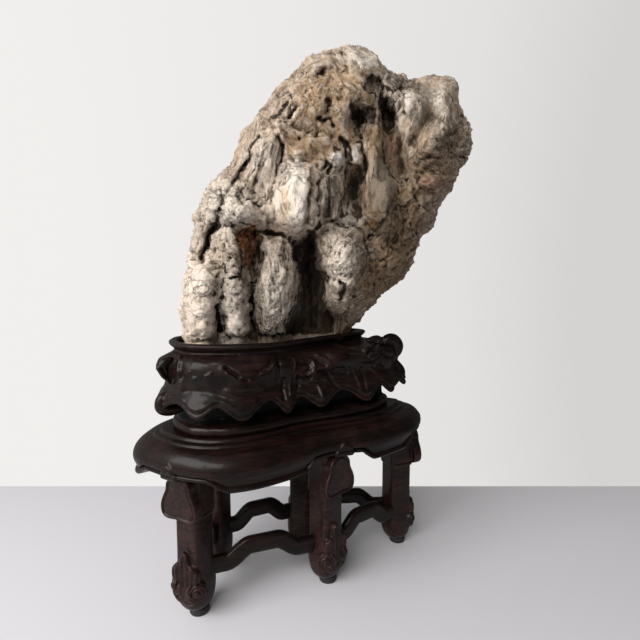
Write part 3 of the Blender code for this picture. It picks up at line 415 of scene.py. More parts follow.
BACK_CLEFTS = [         # as the clefts, but on the back
    ([(-84, 336), (-66, 326), (-50, 340), (-44, 360)], 2.4, 8),
    ([(-40, 330), (-44, 300), (-40, 268), (-44, 240)], 3.0, 10),
    ([(-78, 300), (-74, 270), (-78, 244)], 2.4, 7),
    ([(-10, 466), (-28, 430), (-44, 396), (-52, 380)], 2.6, 9),
    ([(12, 452), (0, 424), (-8, 396), (-10, 370)], 2.2, 8),
    ([(20, 456), (42, 436), (60, 404), (66, 384)], 2.6, 9),
    ([(10, 346), (18, 320), (14, 290), (18, 250)], 3.0, 10),
    ([(60, 376), (84, 358), (110, 346), (128, 330)], 2.4, 9),
    ([(96, 440), (92, 412), (98, 388)], 2.6, 9),
    ([(130, 486), (138, 456), (160, 430), (180, 420)], 2.6, 9),
    ([(150, 410), (170, 404), (186, 408)], 1.8, 6),
    ([(52, 300), (60, 280), (56, 256)], 2.0, 7),
    ([(86, 330), (104, 318), (120, 310)], 2.0, 7),
    ([(40, 492), (66, 486), (90, 494)], 2.0, 7),
    ([(-20, 300), (-12, 280), (-16, 250)], 1.8, 6),
]
# washes of colour over the front: (x, z, half width, half height, strength)
WASHES = {
    "ochre": [
        (38, 470, 36, 22, 0.75), (20, 448, 26, 18, 0.65), (-2, 420, 20, 16, 0.6),
        (34, 420, 26, 16, 0.7), (62, 432, 14, 10, 0.9), (90, 436, 9, 18, 0.6), (96, 380, 15, 34, 0.4),
        (104, 428, 14, 16, 0.5), (70, 488, 22, 16, 0.6), (-7, 364, 2.6, 24, 1.1),
        (150, 440, 16, 40, 0.25), (22, 405, 20, 10, 0.5), (-42, 322, 7, 16, 0.4),
        (84, 468, 12, 10, 0.5),
    ],
    "pink": [
        (164, 393, 20, 12, 0.9), (112, 432, 10, 14, 0.7), (-20, 285, 16, 40, 0.35),
        (190, 477, 6, 5, 0.9), (168, 424, 16, 7, 0.7), (56, 312, 16, 18, 0.3), (8, 340, 10, 12, 0.3),
        (110, 410, 8, 14, 0.4),
    ],
    "rust": [
        (-44, 326, 7, 9, 1.2), (-39, 331, 4, 7, 0.9), (-45, 312, 5, 8, 0.9), (-43, 303, 3, 6, 0.4),
        (88, 346, 2.5, 4, 0.7), (47, 442, 4, 6, 0.5), (66, 404, 5, 2, 0.5), (104, 440, 6, 8, 0.4),
    ],
    "cream": [
        (7, 366, 7, 28, 1.4), (-15, 358, 3, 16, 0.4), (62, 352, 13, 10, 0.9), (-60, 350, 24, 20, 0.7),
        (-92, 280, 20, 60, 0.42), (-58, 262, 16, 44, 0.8), (-16, 262, 16, 24, 0.5),
        (-30, 395, 16, 34, 0.4), (78, 506, 24, 8, 0.7), (0, 388, 14, 12, 0.6), (128, 476, 7, 7, 0.9),
        (170, 484, 12, 16, 0.3), (54, 308, 20, 28, 0.6), (-16, 290, 18, 34, 0.5), (46, 405, 10, 9, 0.6),
        (150, 480, 20, 12, 0.15), (-70, 372, 16, 12, 0.3), (96, 468, 6, 8, 0.3),
    ],
    "white": [
        (67, 412, 5, 8, 1.0), (49, 407, 4.5, 5, 0.9), (46, 411, 3, 3, 0.8), (20, 467, 2, 1.5, 0.8),
        (58, 445, 6, 3, 0.4), (129, 474, 2.5, 6, 0.6),
    ],
    # the stone's own brown, and painted shade over the lower right flank and the hollows that lie in shade
    "earth": [
        (112, 300, 40, 40, 0.8), (130, 360, 26, 36, 0.8), (165, 400, 30, 22, 0.7),
        (110, 425, 14, 20, 0.8), (98, 384, 17, 40, 1.0), (89, 428, 9, 24, 0.7), (88, 352, 8, 12, 0.6),
        (152, 448, 16, 36, 0.6), (84, 290, 20, 24, 0.6), (60, 440, 20, 16, 0.3),
        (190, 440, 20, 24, 0.6), (14, 290, 14, 50, 0.7), (40, 246, 30, 14, 0.7), (66, 380, 14, 26, 0.5),
        (30, 476, 20, 8, 0.5), (-30, 262, 8, 26, 0.4), (-40, 300, 8, 20, 0.5), (-24, 420, 12, 16, 0.25),
        (-64, 300, 14, 30, 0.35), (88, 470, 16, 16, 0.5), (44, 446, 8, 8, 0.5), (-46, 380, 8, 14, 0.4),
    ],
    # the stone's own dark grey, and painted shade over the tongue and the ribs beside the brow that lie in
    # shade
    "grey": [
        (98, 384, 17, 42, 0.8), (160, 470, 34, 34, 0.62), (132, 468, 14, 14, 0.4),
        (38, 370, 12, 24, 0.9), (62, 385, 9, 22, 0.7), (84, 484, 10, 9, 0.9), (108, 466, 10, 14, 1.0),
        (112, 493, 12, 7, 0.8), (78, 452, 11, 9, 0.7), (14, 290, 13, 46, 0.9), (-72, 322, 6, 16, 0.3),
        (-36, 262, 4, 26, 0.5), (130, 360, 14, 14, 0.35), (112, 300, 20, 16, 0.3),
        (84, 318, 10, 12, 0.5), (196, 444, 14, 16, 0.35), (140, 488, 12, 5, 0.6),
        (158, 412, 22, 22, 0.3), (40, 248, 30, 12, 0.6), (-20, 405, 10, 16, 0.35),
        (-84, 296, 8, 30, 0.2), (0, 452, 8, 12, 0.5), (36, 338, 12, 8, 0.4),
    ],
}
STONE_GROUND = ((0.41, 0.30, 0.215, 1), (0.60, 0.49, 0.385, 1))
STONE_TINTS = [         # (wash, where it starts and is full, strength, colour)
    ("ochre", 0.25, 0.8, 1.0, (0.47, 0.325, 0.20)),
    ("earth", 0.15, 0.7, 0.9, (0.27, 0.178, 0.10)),
    ("pink", 0.25, 0.8, 1.0, (0.42, 0.25, 0.175)),
    ("grey", 0.15, 0.6, 0.8, (0.165, 0.14, 0.11)),
    ("cream", 0.1, 0.6, 1.0, (0.745, 0.665, 0.58)),
    ("white", 0.3, 0.6, 1.0, (0.90, 0.88, 0.86)),
    ("rust", 0.2, 0.6, 1.0, (0.60, 0.25, 0.10)),
]


# ---- table stand -------------------------------------------------------------
LEGS = {        # name: (x, y, direction it faces, degrees anticlockwise from +X)
    "front_left": (-99.5, -26, 221),
    "front_middle": (21, -33, 290),
    "right_end": (119, -4, 0),
    "back_middle": (21, 34, 70),
    "back_left": (-72, 30, 139),
}
PAD_SHIFT = (2.0, -1.0) # from a leg's middle to its pad's
PAD_PROFILE = [         # (radius, height)
    (7.6, 0), (8.2, 0.3), (8.5, 1.2), (8.5, 4.9), (8.1, 5.8), (7.4, 6.0),
]
LEG_BOTTOM, LEG_TOP = 6.3, 131.0
LEG_VOXEL = 0.65
CAP_HALF = 13.2         # half width of the block at a leg's top
CAP_BOTTOM = 89         # the panel and the cheeks are carved above this height
LEAF_TOP = 66           # the foot's leaf is carved below this height
PANEL_PLATE = (8.6, CAP_HALF - 2)       # (thickness, where its back is)
LEAF_PLATE = (5.4, 10.6)
PLATE_EDGE = 1.8        # how far a plate's front edge is rounded
LEG_SECTIONS = [        # (height, half width, squareness): foot, shaft, cap
    (LEG_BOTTOM, 9.2, 2.3), (8.5, 11.4, 2.4), (12, 13.2, 2.6), (18, 14.2, 3.0), (25, 14.5, 3.4),
    (33, 13.9, 4.0), (42, 12.5, 6.0), (54, 11.8, 8.0), (88.8, 11.8, 8.0), (89.6, 13.2, 8.0),
    (LEG_TOP, 13.2, 8.0),
]
PANEL_HALF_OUTLINE = [(0, 92), (12, 91.5), (17.5, 94.5), (19, 101), (17.5, 108),
                      (13.6, 116), (12.2, 123), (7.5, 128), (0, 130.6)]
TIP_HALF_OUTLINE = [(0, 128), (8.6, 128), (8.0, 133), (6.0, 138), (3.0, 142), (0, 143.5)]
TIP_RISE = 2.0          # how far the panel's tip stands out of the cushion
CHEEK_LINE = [(-13, 130), (-13.2, 98), (-11, 92.5), (-6, 90.4), (14, 90.4)]
LEAF_HALF_OUTLINE = [(0, 15), (9, 17), (13.6, 25), (12.4, 32), (13.8, 39), (13.0, 46), (9, 49.5),
                     (6, 51), (4.6, 56), (2.6, 60), (0, 61.5)]
LEAF_LINES = [          # (points (half width, height), half width, height)
    ([(0, 57), (0, 40), (0, 22)], 1.3, -0.9),
    ([(4.5, 51), (6.0, 43), (5.0, 34), (7.5, 24)], 1.2, -1.0),
    ([(11.5, 46), (10.0, 40), (9.0, 33), (10.5, 26)], 1.0, -0.8),
    ([(2.2, 55), (3.0, 45), (2.6, 34), (4.0, 24)], 1.3, 0.8),
    ([(8.0, 48), (8.4, 40), (7.0, 32), (9.0, 24)], 1.3, 0.7),
]
VOLUTE_TURN = 43.0      # degrees from the leg's outer face round to each corner
VOLUTE_HEIGHT = 28.5
VOLUTE_PROFILE = [      # (distance out, radius)
    (8.0, 8.8), (17.8, 8.8), (19.4, 8.0), (20.0, 6.2), (20.2, 3.6), (20.9, 2.2), (21.3, 0.8),
]
LINE_WIDTH = 0.8        # half width of the leg's cut lines
GROOVE_DEPTH, GROOVE_INSET = 1.3, 2.9
BEAD_HEIGHT, BEAD_INSET = 0.7, 1.3
CHEEK_DEPTH, CHEEK_INSET = 0.9, 2.4
SPIRAL_START = 1.9
SPIRAL_RISE = 0.42      # how far the groove moves out for each radian
SPIRAL_PITCH = 2.64
SPIRAL_WIDTH = 0.62

STRETCHER_LOW = 39.0    # height of a bar's middle line at the legs
STRETCHER_HIGH = 50.5   # and between them
STRETCHER_HALF_WIDTH = 4.4
STRETCHER_HALF_HEIGHT = 8.0
STRETCHERS = [
    ("front_left", "front_middle"),
    ("front_middle", "right_end"),
    ("back_middle", "right_end"),
    ("back_left", "back_middle"),
    ("front_left", "back_left"),
]
SIDE_SHIFT = {("front_middle", "right_end"): -5.5, ("back_middle", "right_end"): 5.5}
BAR_INSET = 11.0        # from a leg's middle to where a bar meets it
BAR_BENDS = (0.22, 0.40)                # a bar rises between these shares of its length
BAR_STATIONS = 90
BAR_SIDES = 28
BAR_SQUARENESS = 3.2

# plan outlines are (x, y) round the front half; steps are (offset from the outline, height)
LEDGE_HALF = [(128, 0), (121, -13), (104, -26), (84, -36), (58, -42.5), (22, -43),
              (-8, -46), (-35, -54), (-62, -58), (-90, -53), (-110, -38), (-123, -18),
              (-129, 0)]
LEDGE_STEPS = [(-8.0, 159.0), (-7.0, 159.0), (-6.2, 158.4), (-5.4, 156.9), (-4.6, 156.3),
               (-1.2, 156.1), (-0.2, 155.7), (0.6, 154.2)]
CUSHION = [(2.2, 153.6), (6.0, 153.0), (10.5, 151.2), (14.5, 147.6), (17.0, 143.2),
           (17.8, 139.0), (17.2, 135.2), (15.6, 131.6)]
TOP_STATIONS = 480
CUSP_DEPTH = 3.5        # how far the cushion draws in over each leg
CUSP_WIDTH = 14.0
END_SWELL = 4.0         # how far it swells at the right end
UNDERSIDE = 131.3
APRON_DROP = 8.5        # how far the apron hangs below the underside between the legs
APRON_CLEAR = 27.0      # how far from a leg's middle it starts
APRON_RAMP = 12.0
APRON_EDGE = 5.5        # the least height of the cushion above the apron's lower edge
LIP_REACH = 16.0
LIP = [                 # (out, up from the apron's lower edge)
    (-1.6, 4.6), (-0.9, 4.2), (0.3, 3.0), (0.5, 1.8), (-0.4, 0.6), (-2.0, 0),
]

# ---- carved base -------------------------------------------------------------
BASE_BOTTOM = 159.3
PLINTH_HALF = [(105, 0), (97, -13), (75, -27), (45, -34), (15, -36), (-15, -39),
               (-45, -46), (-75, -46), (-98, -34), (-108, -17), (-111, 0)]
SKIRT_HALF = [(128, 0), (120, -17), (97, -32), (62, -43), (25, -47), (-15, -50),
              (-50, -57), (-85, -55), (-110, -40), (-123, -20), (-127, 0)]
RIM = [(89, 16), (78, 3), (60, -8), (32, -20), (0, -35), (-28, -46), (-52, -48),
       (-80, -41), (-104, -26), (-114, 3), (-107, 32), (-85, 46), (-50, 50),
       (-10, 48), (35, 44), (78, 36)]
SOCKET_FLOOR = 225.0
RIM_TOP = 236.0
RIM_STEPS = [(-9.5, SOCKET_FLOOR), (-7.2, RIM_TOP - 1.2), (-5.6, RIM_TOP - 0.2), (-3.0, RIM_TOP),
             (-0.8, RIM_TOP - 0.8), (0.0, RIM_TOP - 2.6), (-2.0, RIM_TOP - 5.0), (-5.5, RIM_TOP - 8.0)]
SKIRT_STEPS = [         # (offset, share of the lobes' flare, height its swell is read at, height)
    (-13.0, 0, 223, 223.0), (-11.0, 0, 218, 218.5), (-10.0, 0, 214, 214.0), (-9.6, 0, 208, 208.5),
    (-9.0, 0, 203, 203.0), (-7.8, 0.15, 198, 198.5),
]
LOBE_TOP = 195.5
# (out, up) round the lobes' lower edge, then (out, height) down the wall behind them
LOBE_LIP = [(-0.6, 5.2), (0.4, 3.8), (0.8, 2.2), (0.2, 0.8), (-1.4, 0), (-3.2, 1.4), (-5.5, 5.0)]
WALL_STEPS = [(1.0, 190.0), (0.0, 180.0), (0.0, 171.0)]
PLINTH_STEPS = [(-2.5, 167.6), (0.5, 166.8), (2.0, 163.5), (1.6, 161.0), (0.5, BASE_BOTTOM)]
LEAF_LOBES = [          # middle of each hanging lobe: (x, y, half width, drop)
    (-126, -11, 13, 9), (-99, -48, 12, 10), (-63, -57, 14, 13), (-22, -51, 9, 13),
    (11, -48, 13, 12), (60, -43, 14, 13), (94, -34, 8, 10), (120, -17, 8, 8),
    (126, 8, 9, 8), (102, 31, 12, 10), (66, 43, 13, 12), (22, 47, 12, 11),
    (-22, 51, 12, 12), (-66, 57, 13, 12), (-108, 43, 13, 10),
]
LOBE_EDGE = 187.0
LOBE_FLARE = 5.0
BACK_SHIFT = 9.0        # how far the back's carving is shifted along
RELIEF_SHIFT = (9.0, 0.6, 2.0)          # (reach, size, seed) of the carving's uneven shift
RELIEF_START = (160, 166)               # the carving fades in between these heights
TOOL_MARKS = 0.35       # how uneven the carved surface is
BOSSES = [              # (x, y, height, reach, swell)
    (-126, -4, 217, 13, 9), (-100, -45, 214, 16, 2), (-60, -57, 206, 16, 5),
    (-36, -54, 216, 12, 4), (-18, -50, 212, 13, 5), (8, -48, 204, 14, 5),
    (30, -46, 217, 15, 8), (66, -40, 221, 17, 10), (98, -28, 212, 13, 6),
    (126, -6, 217, 14, 4), (62, 42, 214, 18, 7), (10, 47, 208, 18, 6),
    (-50, 55, 214, 18, 6), (-98, 48, 208, 16, 5),
]
BASE_STATIONS = 440
BASE_VOXEL = 0.9
BASE_TRIANGLES = 185000
CURLS = [               # rolled leaf edges: (depth, [(x, z, radius)...]) as seen on the upright plane
    (-14, [(103, 221, 4), (108, 225, 6), (115, 224.5, 7), (120, 218, 7.2), (120, 211, 5),
           (116, 207, 2.5)]),
    (-26, [(84, 226, 2), (91, 226.5, 4), (97, 226, 4.2), (101, 222, 2.5)]),
    (-12, [(115, 204, 3), (119, 198, 5), (124, 190, 6.2), (124.5, 184.5, 5), (121, 182, 2.5)]),
    (-18, [(103, 190, 3), (107, 183, 6), (113, 179.5, 6.8), (119, 181, 4.5), (121, 184, 2)]),
    (-16, [(-112, 220, 3), (-118, 217.5, 4.5), (-120.5, 213, 4.5), (-118.5, 206, 3.4), (-114, 200, 1.8)]),
    (-14, [(-116, 190, 3), (-121.5, 185, 5), (-121.8, 178, 6), (-117, 175, 5.5), (-111, 175, 5),
           (-105, 176, 3.5)]),
]
CARVING = [             # (points (x, z) on the upright plane, half width, height)
    ([(-105, 220), (-107, 211), (-106, 200), (-104, 192)], 1.3, 2.0),
    ([(-103, 210), (-104, 203)], 1.0, -1.8),
    ([(-98, 207), (-102, 200)], 1.0, 1.4),
    ([(-124, 213), (-121, 207), (-114, 199)], 1.0, 1.6),
    ([(-121, 212), (-117, 206), (-111, 200)], 1.1, -2.2),
    ([(-65, 208), (-59, 203), (-53, 198)], 1.4, -2.6),
    ([(-64, 203), (-58, 198.5), (-52, 196.5)], 0.9, 1.5),
    ([(-47, 195), (-44, 195)], 1.0, -2.0),
    ([(-95, 201), (-93, 201)], 1.2, 1.4),
    ([(-83, 202), (-79, 203)], 1.4, 1.0),
    ([(-66, 186), (-50, 176), (-38, 174)], 3.0, 1.2),
    ([(-32, 200), (-26, 201), (-21, 205), (-18, 211)], 1.4, 2.0),
    ([(-30, 205), (-25, 207), (-22, 211)], 1.2, -1.6),
    ([(-18, 194), (-19, 201), (-17, 208)], 1.2, 1.4),
    ([(-14, 212), (-12, 204), (-13, 196)], 1.3, -1.4),
    ([(2, 200), (3, 207), (1, 213)], 1.2, 1.5),
    ([(-2, 176), (-3, 186), (-2, 195)], 1.3, 1.4),
    ([(-9, 192), (-10, 182), (-8, 172)], 2.0, -1.6),
    ([(6, 194), (6, 184), (4, 174)], 1.8, -1.4),
    ([(10, 209), (15, 211), (21, 209), (24, 203), (22, 197), (16, 194), (9, 195)], 1.1, 1.7),
    ([(14, 206), (18, 205), (19, 201), (15, 199)], 1.1, -1.8),
    ([(8, 192), (19, 192)], 1.3, -2.8),
    ([(27, 214), (34, 210), (41, 205)], 1.3, 2.0),
    ([(26, 209), (31, 206), (36, 203)], 1.2, -1.6),
    ([(29, 197), (34, 196.5), (38, 196)], 2.4, -4.0),
    ([(38, 199), (48, 193), (56, 190), (61, 192), (62, 198)], 1.2, 1.8),
    ([(44, 200), (50, 198), (55, 198)], 1.4, -1.6),
    ([(49, 229), (46, 224), (50, 221), (60, 219), (84, 216)], 1.2, 2.0),
    ([(50, 229), (66, 229.5), (82, 228.5), (88, 223)], 1.2, 1.8),
    ([(54, 225), (62, 224), (72, 224)], 1.8, -1.8),
    ([(60, 214), (70, 211), (84, 209)], 1.6, -1.5),
    ([(80, 214), (90, 220), (102, 227)], 1.2, 2.0),
    ([(86, 213), (92, 217)], 2.4, -3.2),
    ([(100, 215), (104.5, 212), (104, 206), (98, 200)], 1.2, 1.9),
    ([(107, 209), (114, 206)], 2.4, -2.4),
    ([(98, 197), (104, 193)], 2.6, -2.0),
    ([(88, 196), (96, 188), (101, 184)], 1.4, 1.5),
    ([(76, 196), (80, 186), (82, 174)], 2.0, -1.5),
    ([(68, 196), (72, 186), (76, 176)], 1.5, 1.1),
    ([(40, 190), (46, 182), (52, 176)], 2.0, -1.3),
    ([(26, 188), (30, 178), (34, 168)], 1.6, 1.2),
]


# ---- shader expressions --------------------------------------------------------
class Socket:
    """One output of a shader node, which can be used in sums."""

    def __init__(self, nodes, output):
        self.nodes = nodes
        self.output = output

    def __add__(self, other):
        return self.nodes.sum("ADD", self, other)

    def __radd__(self, other):
        return self.nodes.sum("ADD", other, self)

    def __sub__(self, other):
        return self.nodes.sum("SUBTRACT", self, other)

    def __rsub__(self, other):
        return self.nodes.sum("SUBTRACT", other, self)

    def __mul__(self, other):
        return self.nodes.sum("MULTIPLY", self, other)

    def __rmul__(self, other):
        return self.nodes.sum("MULTIPLY", other, self)


class Nodes:
    """A shader tree, built one node at a time."""

    def __init__(self, tree):
        self.tree = tree
        tree.nodes.clear()

    def node(self, kind, settings=None, inputs=None, output=0):
        """Adds a node: its settings first, then the values or links of its sockets."""
        made = self.tree.nodes.new("ShaderNode" + kind)
        for name, value in (settings or {}).items():
            if name == "stops":
                self.set_ramp(made.color_ramp, value)
            else:
                setattr(made, name, value)
        for name, value in (inputs or {}).items():
            if isinstance(value, Socket):
                self.tree.links.new(value.output, made.inputs[name])
            else:
                made.inputs[name].default_value = value
        return Socket(self, made.outputs[output]) if made.outputs else None

    @staticmethod
    def set_ramp(ramp, stops):
        while len(ramp.elements) < len(stops):
            ramp.elements.new(1.0)
        for element, (place, value) in zip(ramp.elements, stops):
            element.position = place
            element.color = (value, value, value, 1)

    def sum(self, operation, a, b):
        return self.node("Math", {"operation": operation}, {0: a, 1: b})

    def blend(self, factor, a, b, way="MIX"):
        """Mixes two colours."""
        return self.node("Mix", {"data_type": "RGBA", "blend_type": way}, {0: factor, 6: a, 7: b}, 2)

    def ramp(self, factor, *stops):
        """A grey ramp through (place, value) stops."""
        return self.node("ValToRGB", {"stops": stops}, {0: factor})

    def dot(self, a, b):
        return self.node("VectorMath", {"operation": "DOT_PRODUCT"}, {0: a, 1: b}, 1)

    def place(self, turn=(0, 0, 0), scale=(1, 1, 1)):
        """Object coordinates in mm, turned and stretched."""
        metres = self.node("TexCoord", output=3)
        return self.node("Mapping", {}, {"Vector": metres, "Rotation": turn,
                                         "Scale": tuple(1000 * s for s in scale)})

    def noise(self, place, scale, detail, roughness, warp=0.0):
        return self.node("TexNoise", {}, {"Vector": place, "Scale": scale, "Detail": detail,
                                          "Roughness": roughness, "Distortion": warp})

    def attribute(self, name):
        """A value painted on the surface."""
        return self.node("Attribute", {"attribute_name": name}, {}, 2)

    def bump(self, height, strength, reach):
        return self.node("Bump", {}, {"Height": height, "Strength": strength, "Distance": reach * MM})


class Finish(Nodes):
    """A material and its nodes."""

    def __init__(self, name):
        self.material = bpy.data.materials.new(name)
        self.material.use_nodes = True
        super().__init__(self.material.node_tree)

    def done(self, **inputs):
        """Ends the material with its shader."""
        shader = self.node("BsdfPrincipled", {}, {n.replace("_", " "): v for n, v in inputs.items()})
        self.node("OutputMaterial", {}, {"Surface": shader})
        return self.material


def rgb(red, green, blue):
    return (red, green, blue, 1)


# ---- mesh helpers --------------------------------------------------------------
def put_in_scene(name, data):
    """A new object that holds the data."""
    thing = bpy.data.objects.new(name, data)
    bpy.context.scene.collection.objects.link(thing)
    return thing


def mesh_of(bm, name):
    """The bmesh as a mesh; the bmesh is freed."""
    mesh = bpy.data.meshes.new(name)
    bm.to_mesh(mesh)
    bm.free()
    return mesh


def through_modifiers(mesh, name, *modifiers):
    """Runs a mesh through modifiers, each (type, settings)."""
    thing = put_in_scene(name, mesh)
    for kind, settings in modifiers:
        modifier = thing.modifiers.new(kind.lower(), kind)
        for key, value in settings.items():
            setattr(modifier, key, value)
    bpy.context.view_layer.update()
    graph = bpy.context.evaluated_depsgraph_get()
    made = bpy.data.meshes.new_from_object(thing.evaluated_get(graph))
    made.name = name
    bpy.data.objects.remove(thing, do_unlink=True)
    return made


def remeshed(mesh, name, voxel, smoothing=0):
    """The mesh with an even skin, smoothed by a number of rounds."""
    steps = [("REMESH", {"mode": "VOXEL", "voxel_size": voxel * MM})]
    if smoothing:
        steps.append(("SMOOTH", {"factor": 0.5, "iterations": smoothing}))
    return through_modifiers(mesh, name, *steps)


def thinned(mesh, name, triangles):
    """The mesh brought down to a number of triangles."""
    ratio = triangles / (2 * len(mesh.polygons))
    return through_modifiers(mesh, name, ("DECIMATE", {"ratio": ratio}))


def add_piece(name, mesh, material, slot, *nodes):
    """A finished piece that stands for its nodes and rides on the one body."""
    mesh.materials.clear()
    mesh.materials.append(material)
    mesh.shade_smooth()
    piece = put_in_scene(name, mesh)
    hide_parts(*nodes)
    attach(piece, "root")
    return piece


def get_points(mesh, origin=ORIGIN):
    """Vertex places in mm from an origin, by default the table's middle."""
    flat = np.empty(len(mesh.vertices) * 3)
    mesh.vertices.foreach_get("co", flat)
    return flat.reshape(-1, 3) / MM - origin


def set_points(mesh, points, origin=ORIGIN):
    mesh.vertices.foreach_set("co", ((points + origin) * MM).ravel())
    mesh.update()


def get_normals(mesh):
    flat = np.empty(len(mesh.vertices) * 3)
    mesh.vertices.foreach_get("normal", flat)
    return flat.reshape(-1, 3)


def paint(mesh, name, values):
    """Stores one value for each vertex, for a material to read."""
    layer = mesh.attributes.new(name, "FLOAT", "POINT")
    layer.data.foreach_set("value", np.asarray(values, np.float32))


# ---- lines and places ------------------------------------------------------------
def smooth_step(low, high, value):
    share = np.clip((value - low) / (high - low), 0, 1)
    return share * share * (3 - 2 * share)


def on_line(gap, middle, width):
    """1 where the gap is the middle one, fading to 0 about a width away from it."""
    return np.exp(-((gap - middle) / width) ** 2)


def turns(count):
    """Even angles round a full turn."""
    return np.arange(count) * 2 * math.pi / count


def lengths(vectors):
    return np.linalg.norm(vectors, axis=1)


def unit(vectors):
    return vectors / lengths(vectors)[:, None]


def closed(corners):
    """The corners with the first one again at the end."""
    return np.vstack([corners, corners[:1]])


def on_plane(points):
    """Where each point's line of sight crosses the upright plane: (x, z)."""
    share = 1 + points[:, 1] / -EYE[1]
    return np.stack([EYE[0] + (points[:, 0] - EYE[0]) / share,
                     EYE[2] + (points[:, 2] - EYE[2]) / share], 1)


def towards_eye(points):
    return unit(np.array(EYE) - points)


def gap_to_path(points, path):
    """Distance from each point to a path of straight runs."""
    nearest = np.full(len(points), 1e9)
    for start, end in zip(np.array(path[:-1], float), np.array(path[1:], float)):
        run = end - start
        share = np.clip(((points - start) @ run) / (run @ run), 0, 1)
        nearest = np.minimum(nearest, lengths(points - start - share[:, None] * run))
    return nearest


def near_path(flat, path, reach):
    """Whether each place lies in the box round a path, widened by a reach."""
    corners = np.array(path, float)
    return np.all((flat > corners.min(0) - reach) & (flat < corners.max(0) + reach), axis=1)


def inside(flat, corners):
    """Whether each place lies within a closed line of corners."""
    x, z = flat.T
    found = np.zeros(len(flat), bool)
    for (x0, z0), (x1, z1) in zip(corners, np.roll(corners, -1, 0)):
        if z0 != z1:
            crossing = (z > min(z0, z1)) & (z <= max(z0, z1))
            found ^= crossing & (x < (z - z0) * (x1 - x0) / (z1 - z0) + x0)
    return found


def face_edge(flat, corners, reach):
    """The places near a face, and how far each lies inside its edge."""
    corners = np.array(corners, float)
    near = near_path(flat, corners, reach)
    gap = gap_to_path(flat[near], closed(corners))
    return near, np.where(inside(flat[near], corners), gap, -gap)


def soft_edge(within, softness):
    """0 outside a face and 1 inside it."""
    return smooth_step(-0.6 * softness, 0.6 * softness, within)


def noise_at(points, kind, *settings):
    return np.array([kind(Vector(point), *settings) for point in points])


def warped(flat, *shifts):
    """The places, shifted unevenly so that no stroke runs straight."""
    for reach, size, seed in shifts:
        spots = np.column_stack([flat / reach, np.full(len(flat), seed)])
        shift = [noise_at(spots, noise.noise), noise_at(spots + 31.7, noise.noise)]
        flat = flat + size * np.column_stack(shift)
    return flat


# ---- the stone's forms ---------------------------------------------------------
def line_cuts(flat, lines):
    """Depth that narrow clefts cut."""
    depth = np.zeros(len(flat))
    for path, half_width, size in lines:
        near = near_path(flat, path, 3 * half_width)
        gap = gap_to_path(flat[near], path) / half_width
        steepness = 2 if half_width > WIDE else 4
        depth[near] = np.maximum(depth[near], size * np.exp(-gap ** steepness))
    return depth


def carve_depth(flat):
    """Depth that the faces, clefts and pits cut into the front at each place."""
    depth = line_cuts(flat, CLEFTS)
    for corners, rise, softness in FACES:
        near, within = face_edge(flat, corners, FACE_REACH)
        crown = 1 + 0.25 * smooth_step(0, 12, within)
        depth[near] -= FACE_BOLDNESS * rise * soft_edge(within, softness) * crown
    for corners, direction, slope, softness in TILTED:
        near, within = face_edge(flat, corners, FACE_REACH)
        start = (np.array(corners) @ np.array(direction)).min()
        rise = slope * (flat[near] @ np.array(direction) - start)
        depth[near] -= rise * soft_edge(within, softness)
    for x, z, radius, size in PITS:
        depth += size * np.exp(-(((flat[:, 0] - x) ** 2 + (flat[:, 1] - z) ** 2) / radius ** 2) ** 1.3)
    return np.where(depth > 0, DEEPEST * np.tanh(depth / DEEPEST), depth)


def painted_cleft_shade(flat):
    """Where the clefts, pits and undercut edges lie on the front, and what is sunk, as painted shade for
    their dark.
    """
    lines = [(path, 0.8 * half_width, min(1.0, size / 6)) for path, half_width, size in CLEFTS
             if half_width < WIDE]
    marks = line_cuts(flat, lines)
    sunk = np.zeros(len(flat))
    for x, z, radius, size in PITS:
        gap = np.hypot(flat[:, 0] - x, flat[:, 1] - z)
        marks = np.maximum(marks, min(1.0, size / 5) * on_line(gap, 0, 0.9 * radius))
    for corners, rise, _ in FACES:
        near, within = face_edge(flat, corners, 4)
        outside = within if rise > 0 else -within
        # painted shade: a dark line just outside each face's edge, as if undercut
        marks[near] = np.maximum(marks[near], min(0.9, abs(rise) / 7) * on_line(outside, -0.9, 1.1))
        # painted shade over the floor of a deeply sunk face
        if rise < -5:
            sunk[near] = np.maximum(sunk[near], smooth_step(-1, 3, within) * (-rise - 5) / 8)
    return marks, sunk


def socket_share(points):
    """0 down in the socket, 1 where the stone is free of it."""
    return smooth_step(*SOCKET_TOP, points[:, 2])


def carved_places(points):
    """Where the front's marks are read for each point, shifted unevenly."""
    return warped(on_plane(points), *CARVING_SHIFTS)


def sculpt(mesh):
    """Cuts the faces, clefts and pits along the lines of sight, and the back's clefts."""
    points, normals = get_points(mesh), get_normals(mesh)
    aim = towards_eye(points)
    front = smooth_step(*SEEN, (normals * aim).sum(1)) * socket_share(points)
    flat = carved_places(points)
    moved = points - aim * ((SKIN_ROOM + carve_depth(flat)) * front)[:, None]
    behind = smooth_step(*BEHIND, normals[:, 1]) * (1 - front) * socket_share(points)
    away = warped(points[:, [0, 2]], *BACK_SHIFTS)
    moved -= normals * (line_cuts(away, BACK_CLEFTS) * behind)[:, None]
    set_points(mesh, moved)


# ---- the stone's skin ----------------------------------------------------------
def skin_regions(flat):
    """The region that each place belongs to, and its shares in all of them."""
    pull = np.empty((len(SKIN), len(flat)))
    wander = warped(flat, REGION_SHIFT)
    for index, (x, z, reach, *_) in enumerate(SKIN):
        pull[index] = ((wander - (x, z)) ** 2).sum(1) / reach ** 2
    share = np.exp(4 * (pull.min(0) - pull))
    return pull.argmin(0), share / share.sum(0)


def leaned(flat, x, z, lean):
    """Coordinates across and along a direction that leans from upright."""
    turn = math.radians(lean)
    dx, dz = flat[:, 0] - x, flat[:, 1] - z
    return (dx * math.cos(turn) + dz * math.sin(turn),
            -dx * math.sin(turn) + dz * math.cos(turn))


